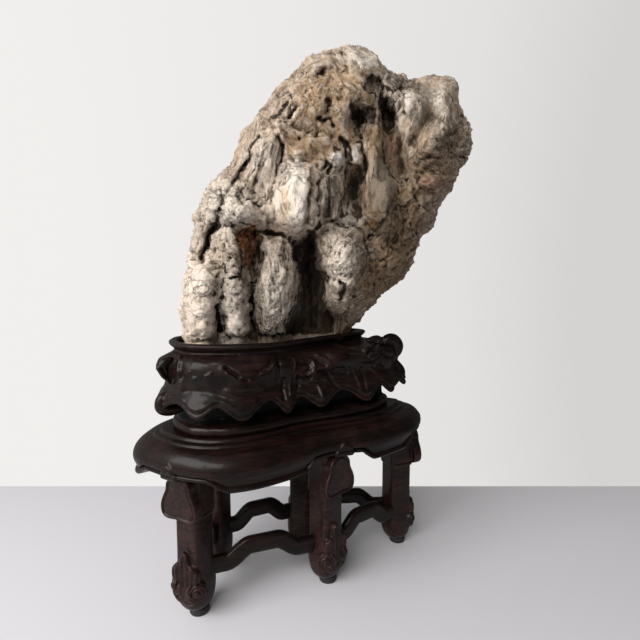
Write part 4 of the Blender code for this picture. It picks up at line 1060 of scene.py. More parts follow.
def bedding(points, flat, owner, front):
    """Coordinates across and along the stone's grain, in lengths of its pattern."""
    turned = np.column_stack([points[:, 0] * 0.84 - points[:, 2] * 0.54,
                              points[:, 0] * 0.54 + points[:, 2] * 0.84, points[:, 1]])
    spots = turned / (8, 20, 9)
    for index, (x, z, _, lean, across_pitch, along_pitch, *_) in enumerate(SKIN):
        own = (owner == index) & front
        across, along = leaned(flat[own], x, z, lean)
        spots[own] = np.column_stack([across / across_pitch, along / along_pitch,
                                      points[own, 1] / across_pitch]) + 5.3 * index
    return spots


def broken(spots):
    """Tilted planes, one for each cell of a broken surface, that meet in low steps."""
    middles = np.array([noise.voronoi(Vector(spot))[1][0] for spot in spots])
    tilt = np.sin(middles @ np.array(((71.3, 23.1, 57.9), (17.7, 83.9, 31.1), (41.3, 61.7, 92.3))))
    return ((spots - middles) * tilt).sum(1)


def skin(spots, step, streak):
    """Steps and streaks of a skin whose grain runs along the second axis."""
    bend = np.column_stack([noise_at(spots * 0.6 + shift, noise.noise) for shift in (7.1, 23.4, 51.8)])
    spots = spots + 0.5 * bend
    ridged = noise_at(spots + 4.0, noise.ridged_multi_fractal, 0.9, 2.2, 3, 1.0, 2.0)
    return step * (1.7 * broken(spots) + 0.7 * broken(2.3 * spots + 9.0)) + streak * (ridged - 1.1)


def roughen(mesh):
    """Steps, streaks and grain over the whole stone."""
    points, normals = get_points(mesh), get_normals(mesh)
    facing = (normals * towards_eye(points)).sum(1)
    front = facing > AHEAD
    flat = on_plane(points)
    owner, share = skin_regions(flat)
    outline = 1 - smooth_step(0.1, 0.5, np.abs(facing))
    step, streak, grain = (np.where(front, np.array([row[column] for row in SKIN]) @ share, elsewhere)
                           for column, elsewhere in ((6, 1.1), (7, 0.8), (8, GRAIN_ELSEWHERE)))
    height = skin(bedding(points, flat, owner, front), step, streak)
    height += (0.7 + 1.5 * outline) * noise_at(points / 10.0, noise.fractal, 0.9, 2.0, 3)
    height += 1.9 * grain * (1 - 0.6 * outline) * noise_at(points / 3.2 + 9.0, noise.fractal, 0.8, 2.0, 2)
    set_points(mesh, points + normals * (height * socket_share(points))[:, None])


def press_within(mesh):
    """Presses what would stand outside the solid's box back inside it."""
    points = get_points(mesh)
    for axis in (0, 1, 2):
        for sign, limit in ((1, BOX_HIGH[axis]), (-1, -BOX_LOW[axis])):
            reach = sign * points[:, axis] - (limit - BOX_MARGIN)
            pressed = BOX_MARGIN * (1 - np.exp(-np.maximum(reach, 0) / BOX_MARGIN))
            points[:, axis] = sign * (limit - BOX_MARGIN + np.where(reach > 0, pressed, reach))
    set_points(mesh, points)


# ---- the stone's colours -------------------------------------------------------
def relaxed(values, pairs, rounds):
    """Evens values out over the surface, along its edges."""
    count = len(values)
    degree = np.bincount(pairs.ravel(), minlength=count)
    for _ in range(rounds):
        total = (np.bincount(pairs[:, 0], values[pairs[:, 1]], count)
                 + np.bincount(pairs[:, 1], values[pairs[:, 0]], count))
        values = 0.5 * values + 0.5 * total / np.maximum(degree, 1)
    return values


def standing_proud(mesh, rounds):
    """How far each place stands out from the evened surface round it."""
    points = get_points(mesh)
    pairs = np.empty(len(mesh.edges) * 2, np.int32)
    mesh.edges.foreach_get("vertices", pairs)
    pairs = pairs.reshape(-1, 2)
    even = np.stack([relaxed(points[:, axis], pairs, rounds) for axis in range(3)], 1)
    return ((points - even) * get_normals(mesh)).sum(1)


def washed(flat, washes):
    """A wash's strength on the front."""
    total = np.zeros(len(flat))
    for x, z, half_width, half_height, size in washes:
        total += size * np.exp(-((flat[:, 0] - x) / half_width) ** 2
                               - ((flat[:, 1] - z) / half_height) ** 2)
    return np.clip(total, 0, 1)


def patches(points, broad, fine, shift_broad=0.0, shift_fine=0.0):
    """Uneven patches with smaller ones at their edges."""
    return (noise_at(points / broad + shift_broad, noise.noise)
            + 0.4 * noise_at(points / fine + shift_fine, noise.noise))


def paint_stone(mesh):
    points, normals = get_points(mesh), get_normals(mesh)
    facing = (normals * towards_eye(points)).sum(1)
    ahead = facing > AHEAD
    owner, share = skin_regions(on_plane(points))
    paint(mesh, "grain", np.where(ahead, np.array([row[8] for row in SKIN]) @ share, GRAIN_ELSEWHERE))
    layer = mesh.attributes.new("bedding", "FLOAT_VECTOR", "POINT")
    layer.data.foreach_set("vector", bedding(points, on_plane(points), owner, ahead).ravel())
    front = smooth_step(AHEAD, -AHEAD, facing)
    flat = warped(on_plane(points), *WASH_SHIFTS)
    patch = patches(points, 30.0, 8.0)
    other = patches(points, 26.0, 7.0, 50.0, 20.0)
    elsewhere = {
        "ochre": 0.7 * smooth_step(0.05, 0.5, patch),
        "pink": 0.6 * smooth_step(0.1, 0.6, other),
        "rust": 0.5 * smooth_step(0.55, 0.8, patch - other),
        "cream": 0.7 * smooth_step(0.1, 0.5, -other),
        "white": 0,
        "earth": 0.7 * smooth_step(-0.1, 0.5, other - patch),
        "grey": 0.7 * smooth_step(0.1, 0.5, -patch),
    }
    for name, washes in WASHES.items():
        paint(mesh, name, washed(flat, washes) * front + elsewhere[name] * (1 - front))
    # painted shade: dark clefts, pits and face edges, and dark sunk faces
    marks, sunk = painted_cleft_shade(carved_places(points))
    ragged = 0.75 + 0.9 * noise_at(points / 5.0 + 2.0, noise.noise)
    paint(mesh, "marks", np.clip(marks * ragged, 0, 1) * front)
    paint(mesh, "sunk", sunk * front)
    # proud places are painted paler, partly as rubbed wear and partly as painted highlight; fine creases are
    # darkened as painted shade
    paint(mesh, "worn", np.clip(0.5 + standing_proud(mesh, 10) / 2.4, 0, 1))
    # painted shade in the hollows and the deep recesses
    paint(mesh, "hollow", np.clip(0.5 + standing_proud(mesh, 40) / 7.0, 0, 1))
    paint(mesh, "recess", np.clip(-standing_proud(mesh, 160) / 10.0, 0, 1))


def stone_finish():
    finish = Finish("weathered_limestone")
    place = finish.place()
    broad = finish.noise(place, 0.05, 5.0, 0.6)
    fine = finish.noise(place, 0.28, 6.0, 0.65)
    grit = finish.noise(place, 0.75, 5.0, 0.7)
    grain = finish.ramp(finish.attribute("grain"), (0.08, 0.25), (0.6, 1))
    beds = finish.node("Attribute", {"attribute_name": "bedding"}, {}, 1)
    streaks = finish.noise(beds, 2.6, 6.0, 0.7, 0.4)
    folds = finish.node("TexNoise", {"noise_type": "RIDGED_MULTIFRACTAL"},
                        {"Vector": beds, "Scale": 1.4, "Detail": 5.0, "Roughness": 0.65})
    cells = finish.node("TexVoronoi", {}, {"Vector": place, "Scale": 0.34})
    worn = finish.attribute("worn")
    hollow = finish.attribute("hollow")
    ragged = (fine - 0.5) * 0.9

    def creases(scale, width, breaks):
        """Thin meandering cracks along the grain that open and close."""
        spread = finish.noise(beds, scale, 5.0, 0.6, 0.8)
        line = finish.node("Math", {"operation": "ABSOLUTE"}, {0: spread - 0.5})
        open_here = finish.ramp(finish.noise(place, breaks, 2.0, 0.5), (0.44, 0), (0.56, 1))
        return finish.ramp(line, (0.0, 1), (width, 0)) * open_here

    cracks = creases(0.45, 0.012, 0.045)
    hairs = creases(1.2, 0.018, 0.08)
    pits = finish.ramp(cells + (grit - 0.5) * 0.25, (0.13, 1), (0.24, 0))
    pits = pits * finish.ramp(finish.noise(place, 0.09, 3.0, 0.6), (0.46, 0), (0.56, 1)) * grain

    colour = finish.blend(finish.ramp(broad, (0.35, 0), (0.65, 1)), *STONE_GROUND)
    for name, low, high, strength, tint in STONE_TINTS:
        edge = finish.ramp(finish.attribute(name) + ragged, (low, 0), (high, 1))
        colour = finish.blend(edge * strength, colour, rgb(*tint))
    speckle = finish.ramp(grit * 0.5 + streaks * 0.5, (0.36, 0.30), (0.50, 0.92), (0.62, 1.15))
    tint = finish.node("CombineColor", {}, {0: speckle, 1: speckle * 0.98, 2: speckle * 0.95})
    colour = finish.blend(grain, colour, finish.blend(1.0, colour, tint, "MULTIPLY"))

    # paler where the skin stands proud, partly rubbed wear and partly painted highlight; darker in fine
    # creases as painted shade
    rubbed_edge_and_highlight = finish.ramp(worn + (grit - 0.5) * 0.3, (0.60, 0), (0.95, 0.5)) * (1 - finish.attribute("earth"))
    crease_shade = finish.ramp(worn + (grit - 0.5) * 0.25, (0.08, 0.8), (0.36, 0))
    # painted shade in hollows and recesses
    hollows = finish.ramp(hollow + (fine - 0.5) * 0.2, (0.06, 0.8), (0.32, 0))
    recesses = finish.ramp(finish.attribute("recess"), (0.35, 0), (0.9, 0.75))
    # painted shade in sunk faces and in the clefts, pits and undercut edges
    sunk = finish.ramp(finish.attribute("sunk") + ragged * 0.5, (0.2, 0), (1.0, 0.85))
    marks = finish.ramp(finish.attribute("marks") + ragged * 0.25, (0.25, 0), (0.6, 0.95))
    for share, tint in (
            (rubbed_edge_and_highlight, rgb(0.76, 0.67, 0.57)),
            (crease_shade, rgb(0.085, 0.055, 0.032)),
            (hollows, rgb(0.055, 0.037, 0.022)),
            (recesses, rgb(0.045, 0.032, 0.020)),
            (sunk, rgb(0.056, 0.040, 0.027)),
            ((cracks + hairs * 0.5) * 0.65, rgb(0.060, 0.040, 0.025)),
            (pits * 0.75, rgb(0.045, 0.030, 0.020)),
            (marks, rgb(0.028, 0.020, 0.013))):
        colour = finish.blend(share, colour, tint)
    height = (fine * 0.8 + (grit * 1.1 + folds * 0.35 + streaks * 0.9) * grain
              - cracks * 0.9 - hairs * 0.5 - pits * 1.4)
    return finish.done(Base_Color=colour, Roughness=0.72 + (grit - 0.5) * 0.3,
                       Normal=finish.bump(height, 1.0, 2.2), Specular_IOR_Level=0.2)


def make_stone():
    bm = bmesh.new()
    bm.from_mesh(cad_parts["stone"].data)
    bmesh.ops.remove_doubles(bm, verts=bm.verts[:], dist=0.00001)
    mesh = remeshed(mesh_of(bm, "stone_body"), "stone_body", BODY_VOXEL, 9)
    sculpt(mesh)
    mesh = remeshed(mesh, "stone_body", SKIN_VOXEL)
    roughen(mesh)
    press_within(mesh)
    mesh = thinned(mesh, "stone_body", STONE_TRIANGLES)
    paint_stone(mesh)
    add_piece("limestone_rock", mesh, stone_finish(), "limestone", "stone")


# ---- solids built from rings -----------------------------------------------------
def stack_of_rings(rings):
    """Closed solid that joins equal rings of points, flat at its first and last."""
    bm = bmesh.new()
    station = bm.verts.layers.int.new("station")
    bmesh.ops.create_circle(bm, segments=len(rings[0]), radius=1)
    bm.verts.ensure_lookup_table()
    for index, vert in enumerate(bm.verts):
        vert[station] = index
        vert.co = Vector(rings[0][index])
    edges = bm.edges[:]
    bmesh.ops.edgeloop_fill(bm, edges=edges)
    for ring in rings[1:]:
        grown = bmesh.ops.extrude_edge_only(bm, edges=edges)["geom"]
        edges = [item for item in grown if isinstance(item, bmesh.types.BMEdge)]
        for item in grown:
            if isinstance(item, bmesh.types.BMVert):
                item.co = Vector(ring[item[station]])
    bmesh.ops.edgeloop_fill(bm, edges=edges)
    return bm


def mesh_from(bm, name, sharp=40):
    """Ends a bmesh that is in mm from the table's middle."""
    bmesh.ops.remove_doubles(bm, verts=bm.verts[:], dist=0.001)
    bmesh.ops.recalc_face_normals(bm, faces=bm.faces[:])
    bmesh.ops.translate(bm, verts=bm.verts[:], vec=TABLE_MIDDLE)
    bmesh.ops.scale(bm, verts=bm.verts[:], vec=(MM, MM, MM))
    mesh = mesh_of(bm, name)
    mesh.shade_smooth()
    mesh.set_sharp_from_angle(angle=math.radians(sharp))
    return mesh


def joined(name, solids, voxel, smoothing):
    """One skin round several solids in mm."""
    everything = bmesh.new()
    for bm in solids:
        bmesh.ops.recalc_face_normals(bm, faces=bm.faces[:])
        everything.from_mesh(mesh_of(bm, "part"))
    bmesh.ops.scale(everything, verts=everything.verts[:], vec=(MM, MM, MM))
    return remeshed(mesh_of(everything, name), name, voxel, smoothing)


def smooth_rows(rows, steps, corners=()):
    """Evened rows between the given rows; a corner row stays a sharp bend."""
    rows = [np.asarray(row, float) for row in rows]
    made = []
    for index in range(len(rows) - 1):
        start, end = rows[index], rows[index + 1]
        before = rows[index - 1] if index and index not in corners else 2 * start - end
        after = (rows[index + 2] if index + 2 < len(rows) and index + 1 not in corners
                 else 2 * end - start)
        for t in np.arange(steps) / steps:
            made.append(curve_through(before, start, end, after, t))
    return made + [rows[-1]]


def curve_through(before, start, end, after, t):
    """A place between start and end on a smooth curve through four places."""
    return 0.5 * (2 * start + (end - before) * t
                  + (2 * before - 5 * start + 4 * end - after) * t ** 2
                  + (3 * start - before - 3 * end + after) * t ** 3)


def smooth_closed(points, steps=12):
    """A closed curve through the points."""
    places = np.array(points, float)
    share = (np.arange(steps) / steps)[:, None, None]
    curve = curve_through(np.roll(places, 1, 0), places, np.roll(places, -1, 0),
                          np.roll(places, -2, 0), share)
    return curve.transpose(1, 0, 2).reshape(-1, 2)


def mirrored(half):
    """A plan outline from its front half."""
    return half + [(x, -y) for x, y in half[-2:0:-1]]


def both_sides(half_outline):
    """An upright outline from its right half."""
    return half_outline + [(-w, z) for w, z in half_outline[-2:0:-1]]


class Outline:
    """A plan outline read at even stations round a long oval."""

    STRETCH = 2.0
    MIDDLE = np.array((-6.0, 0.0))

    def __init__(self, points, stations):
        curve = smooth_closed(points) - self.MIDDLE
        angle = np.unwrap(np.arctan2(curve[:, 1], curve[:, 0]))
        radius = np.hypot(curve[:, 0], curve[:, 1])
        if angle[-1] < angle[0]:
            angle, radius = angle[::-1], radius[::-1]
        turn = 2 * math.pi
        angle = np.concatenate([angle - turn, angle, angle + turn])
        even = turns(stations)
        aim = np.arctan2(np.sin(even), self.STRETCH * np.cos(even)) % turn
        reach = np.interp(aim, angle, np.tile(radius, 3))
        self.points = np.stack([reach * np.cos(aim), reach * np.sin(aim)], 1) + self.MIDDLE
        along = unit(np.roll(self.points, -1, 0) - np.roll(self.points, 1, 0))
        self.outward = np.stack([along[:, 1], -along[:, 0]], 1)

    def ring(self, offset, height):
        """Points at an offset outside the outline; both may vary by station."""
        flat = self.points + self.outward * np.reshape(offset, (-1, 1))
        return np.column_stack([flat, np.broadcast_to(np.asarray(height, float), len(flat))])

    def nearness(self, x, y, width):
        """1 at the station nearest a place, fading to 0 about a width away."""
        gap = lengths(self.points - (x, y))
        return on_line(gap, gap.min(), width)


# ---- table top -----------------------------------------------------------------
def raise_tips(mesh):
    """Lifts the tip of each leg's panel out of the cushion, within the solid's box."""
    points = get_points(mesh)
    tip = both_sides(TIP_HALF_OUTLINE)
    for x, y, facing in LEGS.values():
        c, s = math.cos(math.radians(facing)), math.sin(math.radians(facing))
        out = (points[:, 0] - x) * c + (points[:, 1] - y) * s
        upright = np.column_stack([(points[:, 1] - y) * c - (points[:, 0] - x) * s, points[:, 2]])
        near, within = face_edge(upright, tip, 3)
        rise = TIP_RISE * smooth_step(-0.6, 0.8, within) * smooth_step(8, 12, out[near])
        points[near] += get_normals(mesh)[near] * rise[:, None]
    set_points(mesh, np.clip(points, BOX_LOW, BOX_HIGH))


def make_table_top(wood):
    ledge = Outline(mirrored(LEDGE_HALF), TOP_STATIONS)
    cusp = np.zeros(TOP_STATIONS)
    drop_share = np.ones(TOP_STATIONS)
    for x, y, _ in LEGS.values():
        cusp = np.maximum(cusp, ledge.nearness(x, y, CUSP_WIDTH))
        far = lengths(ledge.points - (x, y))
        drop_share = np.minimum(drop_share, smooth_step(APRON_CLEAR, APRON_CLEAR + APRON_RAMP, far))
    low = UNDERSIDE - drop_share * APRON_DROP
    swell = END_SWELL * ledge.nearness(LEDGE_HALF[0][0], 0, 40) - cusp * CUSP_DEPTH
    widest = max(offset for offset, _ in CUSHION)
    rows = [ledge.ring(offset + swell * max(offset, 0) / widest, np.maximum(height, low + APRON_EDGE))
            for offset, height in LEDGE_STEPS + CUSHION]
    lip_row = len(rows)
    rows += [ledge.ring(LIP_REACH + swell + out, low + up) for out, up in LIP]
    inner = 4.0 * drop_share + 9.0 * (1 - drop_share)
    rows += [ledge.ring(inner, low), ledge.ring(inner - 2.0, UNDERSIDE)]
    corners = {0, 2, 4, 6, lip_row, len(rows) - 2, len(rows) - 1}
    mesh = mesh_from(stack_of_rings(smooth_rows(rows, 4, corners)), "table_top")
    raise_tips(mesh)
    add_piece("long_table_top", mesh, wood, "dark_hardwood", "table_top")


# ---- legs ----------------------------------------------------------------------
def squared(angle, squareness):
    """The reach of a rounded square of half width 1 at each angle."""
    return (np.abs(np.cos(angle)) ** squareness + np.abs(np.sin(angle)) ** squareness) ** (-1 / squareness)


def squared_ring(half, squareness, height, stations=72):
    angle = turns(stations)
    reach = half * squared(angle, squareness)
    return np.column_stack([np.cos(angle) * reach, np.sin(angle) * reach, np.full(stations, float(height))])


def plate(half_outline, thickness, out):
    """An upright plate with a rounded front, from its back outwards."""
    curve = smooth_closed(both_sides(half_outline), 6)
    middle = curve.mean(0)
    towards = curve - middle
    round_share = PLATE_EDGE / thickness
    rings = []
    for share, step in ((0.0, 0.0), (1 - round_share, 0.0), (1 - 0.3 * round_share, 0.3 * PLATE_EDGE),
                        (1.0, PLATE_EDGE)):
        shape = middle + towards * (1 - step / lengths(towards)[:, None])
        rings.append(np.column_stack([np.full(len(shape), out + share * thickness), shape]))
    return stack_of_rings(rings)


def volute(side):
    """A domed roll at a foot's corner."""
    angle = turns(32)
    bm = stack_of_rings([np.column_stack([np.full(32, out), radius * np.cos(angle), radius * np.sin(angle)])
                         for out, radius in VOLUTE_PROFILE])
    turn = Matrix.Rotation(side * math.radians(VOLUTE_TURN), 3, "Z")
    bmesh.ops.rotate(bm, verts=bm.verts[:], matrix=turn)
    bmesh.ops.translate(bm, verts=bm.verts[:], vec=(0, 0, VOLUTE_HEIGHT))
    return bm


def carve_leg(points, normals):
    """Rims, grooves and folds cut into the leg."""
    x, y, z = points.T
    depth = np.zeros(len(points))
    panel = closed(smooth_closed(both_sides(PANEL_HALF_OUTLINE), 6))
    face = (normals[:, 0] > 0.3) & (z > CAP_BOTTOM) & (x > CAP_HALF + 3)
    gap = gap_to_path(points[face][:, 1:], panel)
    depth[face] = (BEAD_HEIGHT * on_line(gap, BEAD_INSET, LINE_WIDTH)
                   - GROOVE_DEPTH * on_line(gap, GROOVE_INSET, LINE_WIDTH))
    for side in (-1, 1):
        cheek = (normals[:, 1] * side > 0.5) & (z > CAP_BOTTOM) & (x < CAP_HALF + 1)
        gap = gap_to_path(points[cheek][:, [0, 2]], CHEEK_LINE)
        depth[cheek] -= CHEEK_DEPTH * on_line(gap, CHEEK_INSET, LINE_WIDTH)
        turn = side * math.radians(VOLUTE_TURN)
        across = -x * math.sin(turn) + y * math.cos(turn)
        out = x * math.cos(turn) + y * math.sin(turn)
        up = z - VOLUTE_HEIGHT
        radius = np.hypot(across, up)
        angle = np.arctan2(up, -side * across) % (2 * math.pi)
        wind = (radius - SPIRAL_START - SPIRAL_RISE * angle) / SPIRAL_PITCH
        groove = np.exp(-((wind - np.round(wind)) * SPIRAL_PITCH / SPIRAL_WIDTH) ** 2)
        near = (out > 12) & (radius < VOLUTE_PROFILE[1][1] + 0.5) & (radius > 2.2)
        depth[near] -= GROOVE_DEPTH * groove[near]
    leaf = (normals[:, 0] > 0.15) & (x > 8) & (z < LEAF_TOP)
    flat = np.column_stack([np.abs(y[leaf]), z[leaf]])
    for path, half_width, size in LEAF_LINES:
        depth[leaf] += size * on_line(gap_to_path(flat, path), 0, half_width)
    return depth


def leg_mesh():
    """One leg at the origin, facing +X."""
    rows = [squared_ring(half, squareness, height) for height, half, squareness in LEG_SECTIONS]
    solids = [stack_of_rings(smooth_rows(rows, 3, {0, 8, 9, 10})),
              plate(PANEL_HALF_OUTLINE, *PANEL_PLATE), plate(LEAF_HALF_OUTLINE, *LEAF_PLATE),
              volute(-1), volute(1)]
    mesh = joined("leg", solids, LEG_VOXEL, 2)
    points, normals = get_points(mesh, 0), get_normals(mesh)
    points = points + normals * carve_leg(points, normals)[:, None]
    points[:, 2] = np.clip(points[:, 2], LEG_BOTTOM, LEG_TOP)
    set_points(mesh, points, 0)
    return mesh


def make_legs(wood, black):
    shared = leg_mesh()
    for name, (x, y, facing) in LEGS.items():
        mesh = shared.copy()
        mesh.transform(Matrix.Translation((Vector((x, y, 0)) + TABLE_MIDDLE) * MM)
                       @ Matrix.Rotation(math.radians(facing), 4, "Z"))
        add_piece("scroll_leg_" + name, mesh, wood, "dark_hardwood", "leg_" + name)
        pad = [squared_ring(radius, 2, height, 40) + (x + PAD_SHIFT[0], y + PAD_SHIFT[1], 0)
               for radius, height in PAD_PROFILE]
        add_piece("pad_under_" + name, mesh_from(stack_of_rings(pad), "pad", 60), black, "black_pad",
                  "foot_pad_" + name)


# ---- stretchers ----------------------------------------------------------------
def make_stretcher(start, end, wood):
    a, b = (np.array(LEGS[name][:2], float) for name in (start, end))
    b[1] += SIDE_SHIFT.get((start, end), 0)
    run = b - a
    length = np.linalg.norm(run)
    along = run / length
    across = np.array((-along[1], along[0], 0))
    shares = np.linspace(BAR_INSET / length, 1 - BAR_INSET / length, BAR_STATIONS)
    rise = smooth_step(*BAR_BENDS, np.minimum(shares, 1 - shares))
    middle = np.column_stack([a + run * shares[:, None],
                              STRETCHER_LOW + rise * (STRETCHER_HIGH - STRETCHER_LOW)])
    upright = np.cross(unit(np.gradient(middle, axis=0)), across)
    angle = turns(BAR_SIDES)
    reach = squared(angle, BAR_SQUARENESS)
    rings = [centre + np.outer(np.cos(angle) * reach * STRETCHER_HALF_WIDTH, across)
             + np.outer(np.sin(angle) * reach * STRETCHER_HALF_HEIGHT, up)
             for centre, up in zip(middle, upright)]
    name = "stretcher_%s_to_%s" % (start, end)
    add_piece("bar_%s_to_%s" % (start, end), mesh_from(stack_of_rings(rings), name, 60), wood,
              "dark_hardwood", name)


# ---- carved base ---------------------------------------------------------------
def curl(y, path):
    """A rolled leaf edge at a depth, through (x, z, radius) as seen on the upright plane."""
    share = 1 - y / EYE[1]
    eye = np.array(EYE)
    rows = smooth_rows([(*(eye + (np.array((x, 0, z)) - eye) * share), radius * share)
                        for x, z, radius in path], 6)
    middles, reach = np.array(rows)[:, :3], np.array(rows)[:, 3]
    ahead = unit(np.gradient(middles, axis=0))
    first = unit(np.cross(ahead, (0, 1, 0)))
    second = np.cross(ahead, first)
    angle = turns(20)
    return stack_of_rings([middle + size * (np.outer(np.cos(angle), a) + np.outer(np.sin(angle), b))
                           for middle, size, a, b in zip(middles, reach, first, second)])


def base_body(plinth, wall):
    """The turned-in rim, the swelling skirt with its hanging lobes, the deep wall and the plinth."""
    skirt = Outline(mirrored(SKIRT_HALF), BASE_STATIONS)
    rim = Outline(RIM, BASE_STATIONS)
    lobe = np.zeros(BASE_STATIONS)
    drop_by = np.zeros(BASE_STATIONS)
    for x, y, width, depth in LEAF_LOBES:
        near = skirt.nearness(x, y, width)
        lobe = np.maximum(lobe, near)
        drop_by = np.maximum(drop_by, near * depth)

    def swell(height):
        out = np.zeros(BASE_STATIONS)
        for x, y, z, reach, size in BOSSES:
            near = np.exp(-((skirt.points - (x, y)) ** 2).sum(1) / reach ** 2)
            out += size * near * math.exp(-((height - z) / (0.75 * reach)) ** 4)
        return out

    low = LOBE_EDGE - drop_by
    flare = LOBE_FLARE * lobe - LOBE_FLARE
    hang = LOBE_TOP - (low + LOBE_LIP[0][1])
    rows = [rim.ring(offset, height) for offset, height in RIM_STEPS]
    rows += [skirt.ring(offset + share * flare + swell(swell_height), height)
             for offset, share, swell_height, height in SKIRT_STEPS]
    rows += [skirt.ring(-5.6 + 0.35 * flare, LOBE_TOP),
             skirt.ring(-2.4 + 0.75 * flare, LOBE_TOP - 0.4 * hang),
             skirt.ring(flare + 0.6 * lobe, LOBE_TOP - 0.75 * hang)]
    rows += [skirt.ring(flare + out, low + up) for out, up in LOBE_LIP]
    rows += [plinth.ring(wall + out, height) for out, height in WALL_STEPS]
    rows += [plinth.ring(offset, height) for offset, height in PLINTH_STEPS]
    plinth_row = len(rows) - len(PLINTH_STEPS)
    corners = {0, len(RIM_STEPS) - 1, plinth_row - len(WALL_STEPS), plinth_row, len(rows) - 1}
    return stack_of_rings(smooth_rows(rows, 3, corners))


def relief(flat, strokes):
    """Height that the carver's lines and hollows add at each place."""
    total = np.zeros(len(flat))
    for path, half_width, size in strokes:
        near = near_path(flat, path, 3 * half_width)
        total[near] += size * on_line(gap_to_path(flat[near], path), 0, half_width)
    return total


def carve_base(mesh):
    """Cuts the lines of the leaves into the skirt; the back repeats the front, shifted along."""
    points, normals = get_points(mesh), get_normals(mesh)
    mirror = np.array((1, -1, 1))
    behind = points[:, 1] > 0
    flat = on_plane(np.where(points[:, 1:2] > 0, points * mirror, points))
    flat[behind, 0] += BACK_SHIFT
    aim = towards_eye(points)
    aim[behind] = towards_eye(points[behind] * mirror) * mirror
    faces = smooth_step(*SEEN, (normals * aim).sum(1)) * smooth_step(*RELIEF_START, points[:, 2])
    height = relief(warped(flat, RELIEF_SHIFT), CARVING) * faces
    uneven = TOOL_MARKS * noise_at(points / 9.0, noise.fractal, 1.0, 2.0, 2)
    moved = points + normals * (height + uneven * faces)[:, None]
    moved[:, 2] = np.clip(moved[:, 2], BASE_BOTTOM, RIM_TOP)
    set_points(mesh, moved)


def make_carved_base(wood):
    plinth = Outline(mirrored(PLINTH_HALF), BASE_STATIONS)
    wall = -12.0 + 8.0 * (plinth.nearness(-105, 0, 35) + plinth.nearness(105, 0, 35))
    solids = [base_body(plinth, wall)] + [curl(y, path) for y, path in CURLS]
    mesh = joined("carved_base", solids, BASE_VOXEL, 1)
    mesh.transform(Matrix.Translation(TABLE_MIDDLE * MM))
    carve_base(mesh)
    mesh = thinned(mesh, "carved_base", BASE_TRIANGLES)
    # painted shade: the wall behind the hanging lobes is painted nearly black
    points = get_points(mesh)
    gap = gap_to_path(points[:, :2], closed(plinth.ring(wall, 0.0)[:, :2]))
    shade = (1 - smooth_step(3.0, 6.0, gap)) * smooth_step(167.5, 170, points[:, 2])
    paint(mesh, "recess", shade * (1 - smooth_step(192, 196, points[:, 2])))
    add_piece("leaf_carved_base", mesh, wood, "dark_hardwood", "carved_base")


# ---- stand finish --------------------------------------------------------------
def wood_finish(name, painted_light_factor, turn=(0, 0, 0)):
    """Very dark polished hardwood, its whole colour scaled by a factor of painted light and shade; its grain
    runs along the turned X.
    """
    finish = Finish(name)
    along = finish.place(turn, (0.06, 1.0, 1.0))
    fibre = finish.noise(along, 0.9, 5.0, 0.6, 0.4)
    bands = finish.noise(along, 0.22, 3.0, 0.5, 1.2)
    mottle = finish.noise(finish.place(), 0.04, 3.0, 0.5)
    recess = finish.attribute("recess")
    colour = finish.blend(finish.ramp(bands, (0.42, 0), (0.66, 1)),
                          rgb(0.0066, 0.0037, 0.0031), rgb(0.025, 0.0100, 0.0082))
    colour = finish.blend(finish.ramp(fibre, (0.5, 0), (0.75, 0.6)), colour, rgb(0.050, 0.021, 0.017))
    colour = finish.blend(finish.ramp(mottle, (0.4, 0.5), (0.6, 0)), colour, rgb(0.0042, 0.0034, 0.0028))
    # painted light and shade: the whole colour scaled by the factor
    colour = finish.blend(1.0, colour, rgb(painted_light_factor, painted_light_factor, painted_light_factor), "MULTIPLY")
    # painted shade: near black where the wall behind the lobes is painted
    colour = finish.blend(recess, colour, rgb(0.0006, 0.0005, 0.0005))
    return finish.done(Base_Color=colour, Roughness=0.26 + fibre * 0.16 + recess * 0.5,
                       Normal=finish.bump(fibre, 0.12, 0.3), Coat_Weight=0.06, Specular_IOR_Level=0.12)


def pad_finish():
    finish = Finish("black_pad")
    grain = finish.noise(finish.place(), 1.6, 3.0, 0.6)
    colour = finish.blend(finish.ramp(grain, (0.4, 0), (0.65, 1)), rgb(0.007, 0.007, 0.007),
                          rgb(0.018, 0.017, 0.016))
    return finish.done(Base_Color=colour, Roughness=0.62 + grain * 0.2, Normal=finish.bump(grain, 0.3, 0.2))


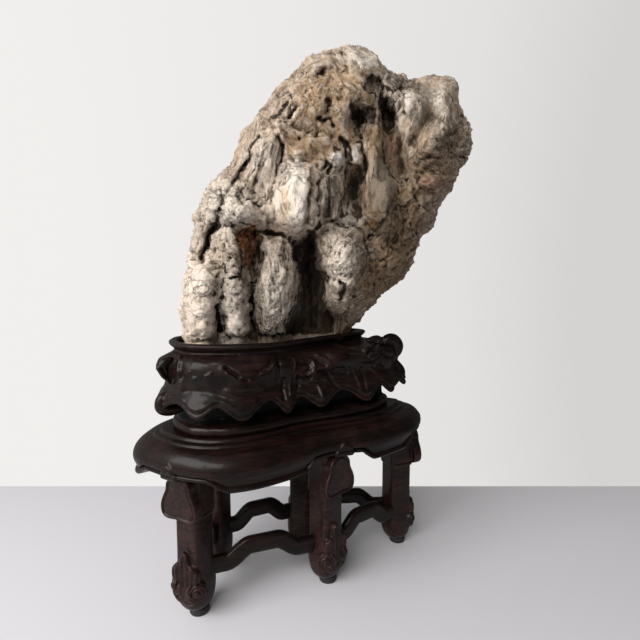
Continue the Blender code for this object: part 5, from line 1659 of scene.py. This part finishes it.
# ---- stage ---------------------------------------------------------------------
def make_stage():
    bm = bmesh.new()
    bmesh.ops.create_grid(bm, x_segments=1, y_segments=1, size=1.0)
    bmesh.ops.scale(bm, verts=bm.verts[:], vec=(*FLOOR_HALF, 1.0))
    bmesh.ops.translate(bm, verts=bm.verts[:], vec=(0, FLOOR_END - FLOOR_HALF[1], -FLOOR_SINK))
    turn = Matrix.Rotation(-math.radians(EYE_TURN), 3, "Z")
    bmesh.ops.rotate(bm, verts=bm.verts[:], matrix=turn)
    mesh = mesh_of(bm, "floor")
    mesh.materials.append(Finish("pale_floor").done(Base_Color=FLOOR_COLOUR, Roughness=0.55))
    put_in_scene("floor", mesh)


def make_windows():
    for name, (place, width, power, colour) in WINDOWS.items():
        lamp = bpy.data.lights.new(name, "AREA")
        lamp.shape = "RECTANGLE"
        lamp.size = lamp.size_y = width
        lamp.energy = power
        lamp.color = colour
        holder = put_in_scene(name, lamp)
        holder.location = place
        holder.rotation_euler = (Vector(LIT_PLACE) - Vector(place)).to_track_quat("-Z", "Y").to_euler()


def make_room():
    """Plain walls all round, brightest towards the window on the left; as seen, they carry a painted shadow
    that darkens them towards the right.
    """
    world = bpy.data.worlds.new("room")
    bpy.context.scene.world = world
    world.use_nodes = True
    nodes = Nodes(world.node_tree)
    aim = nodes.node("TexCoord", output=0)
    glow = nodes.ramp(nodes.dot(aim, WINDOW_SIDE) * 0.5 + 0.5, *ROOM_GLOW)
    wall = nodes.ramp(nodes.dot(aim, ACROSS_VIEW) + 0.5, *WALL_SHADE)
    seen = nodes.node("LightPath")
    strength = seen * wall + (1 - seen) * glow
    light = nodes.node("Background", {}, {"Color": DAYLIGHT, "Strength": strength})
    nodes.node("OutputWorld", {}, {"Surface": light})


def make_camera():
    lens = bpy.data.cameras.new("camera")
    lens.sensor_fit = "HORIZONTAL"
    lens.sensor_width = SENSOR_WIDTH
    lens.lens = FOCAL_PIXELS / FRAME_PIXELS * SENSOR_WIDTH
    lens.dof.use_dof = False
    camera = put_in_scene("camera", lens)
    camera.location = (Vector(EYE) + TABLE_MIDDLE) * MM
    camera.rotation_euler = (math.radians(90 - EYE_DIP), 0, -math.radians(EYE_TURN))
    bpy.context.scene.camera = camera
    bpy.context.scene.view_settings.view_transform = "Standard"


def main():
    make_camera()
    make_windows()
    make_room()
    make_stage()
    make_stone()
    # the same wood twice: painted darker for the top, base and bars, painted lighter for the legs
    level = wood_finish("dark_hardwood_along_shaded", 0.62)
    upright = wood_finish("dark_hardwood_upright_lit", 1.5, (0, math.pi / 2, 0))
    make_table_top(level)
    make_carved_base(level)
    make_legs(upright, pad_finish())
    for start, end in STRETCHERS:
        make_stretcher(start, end, level)


main()
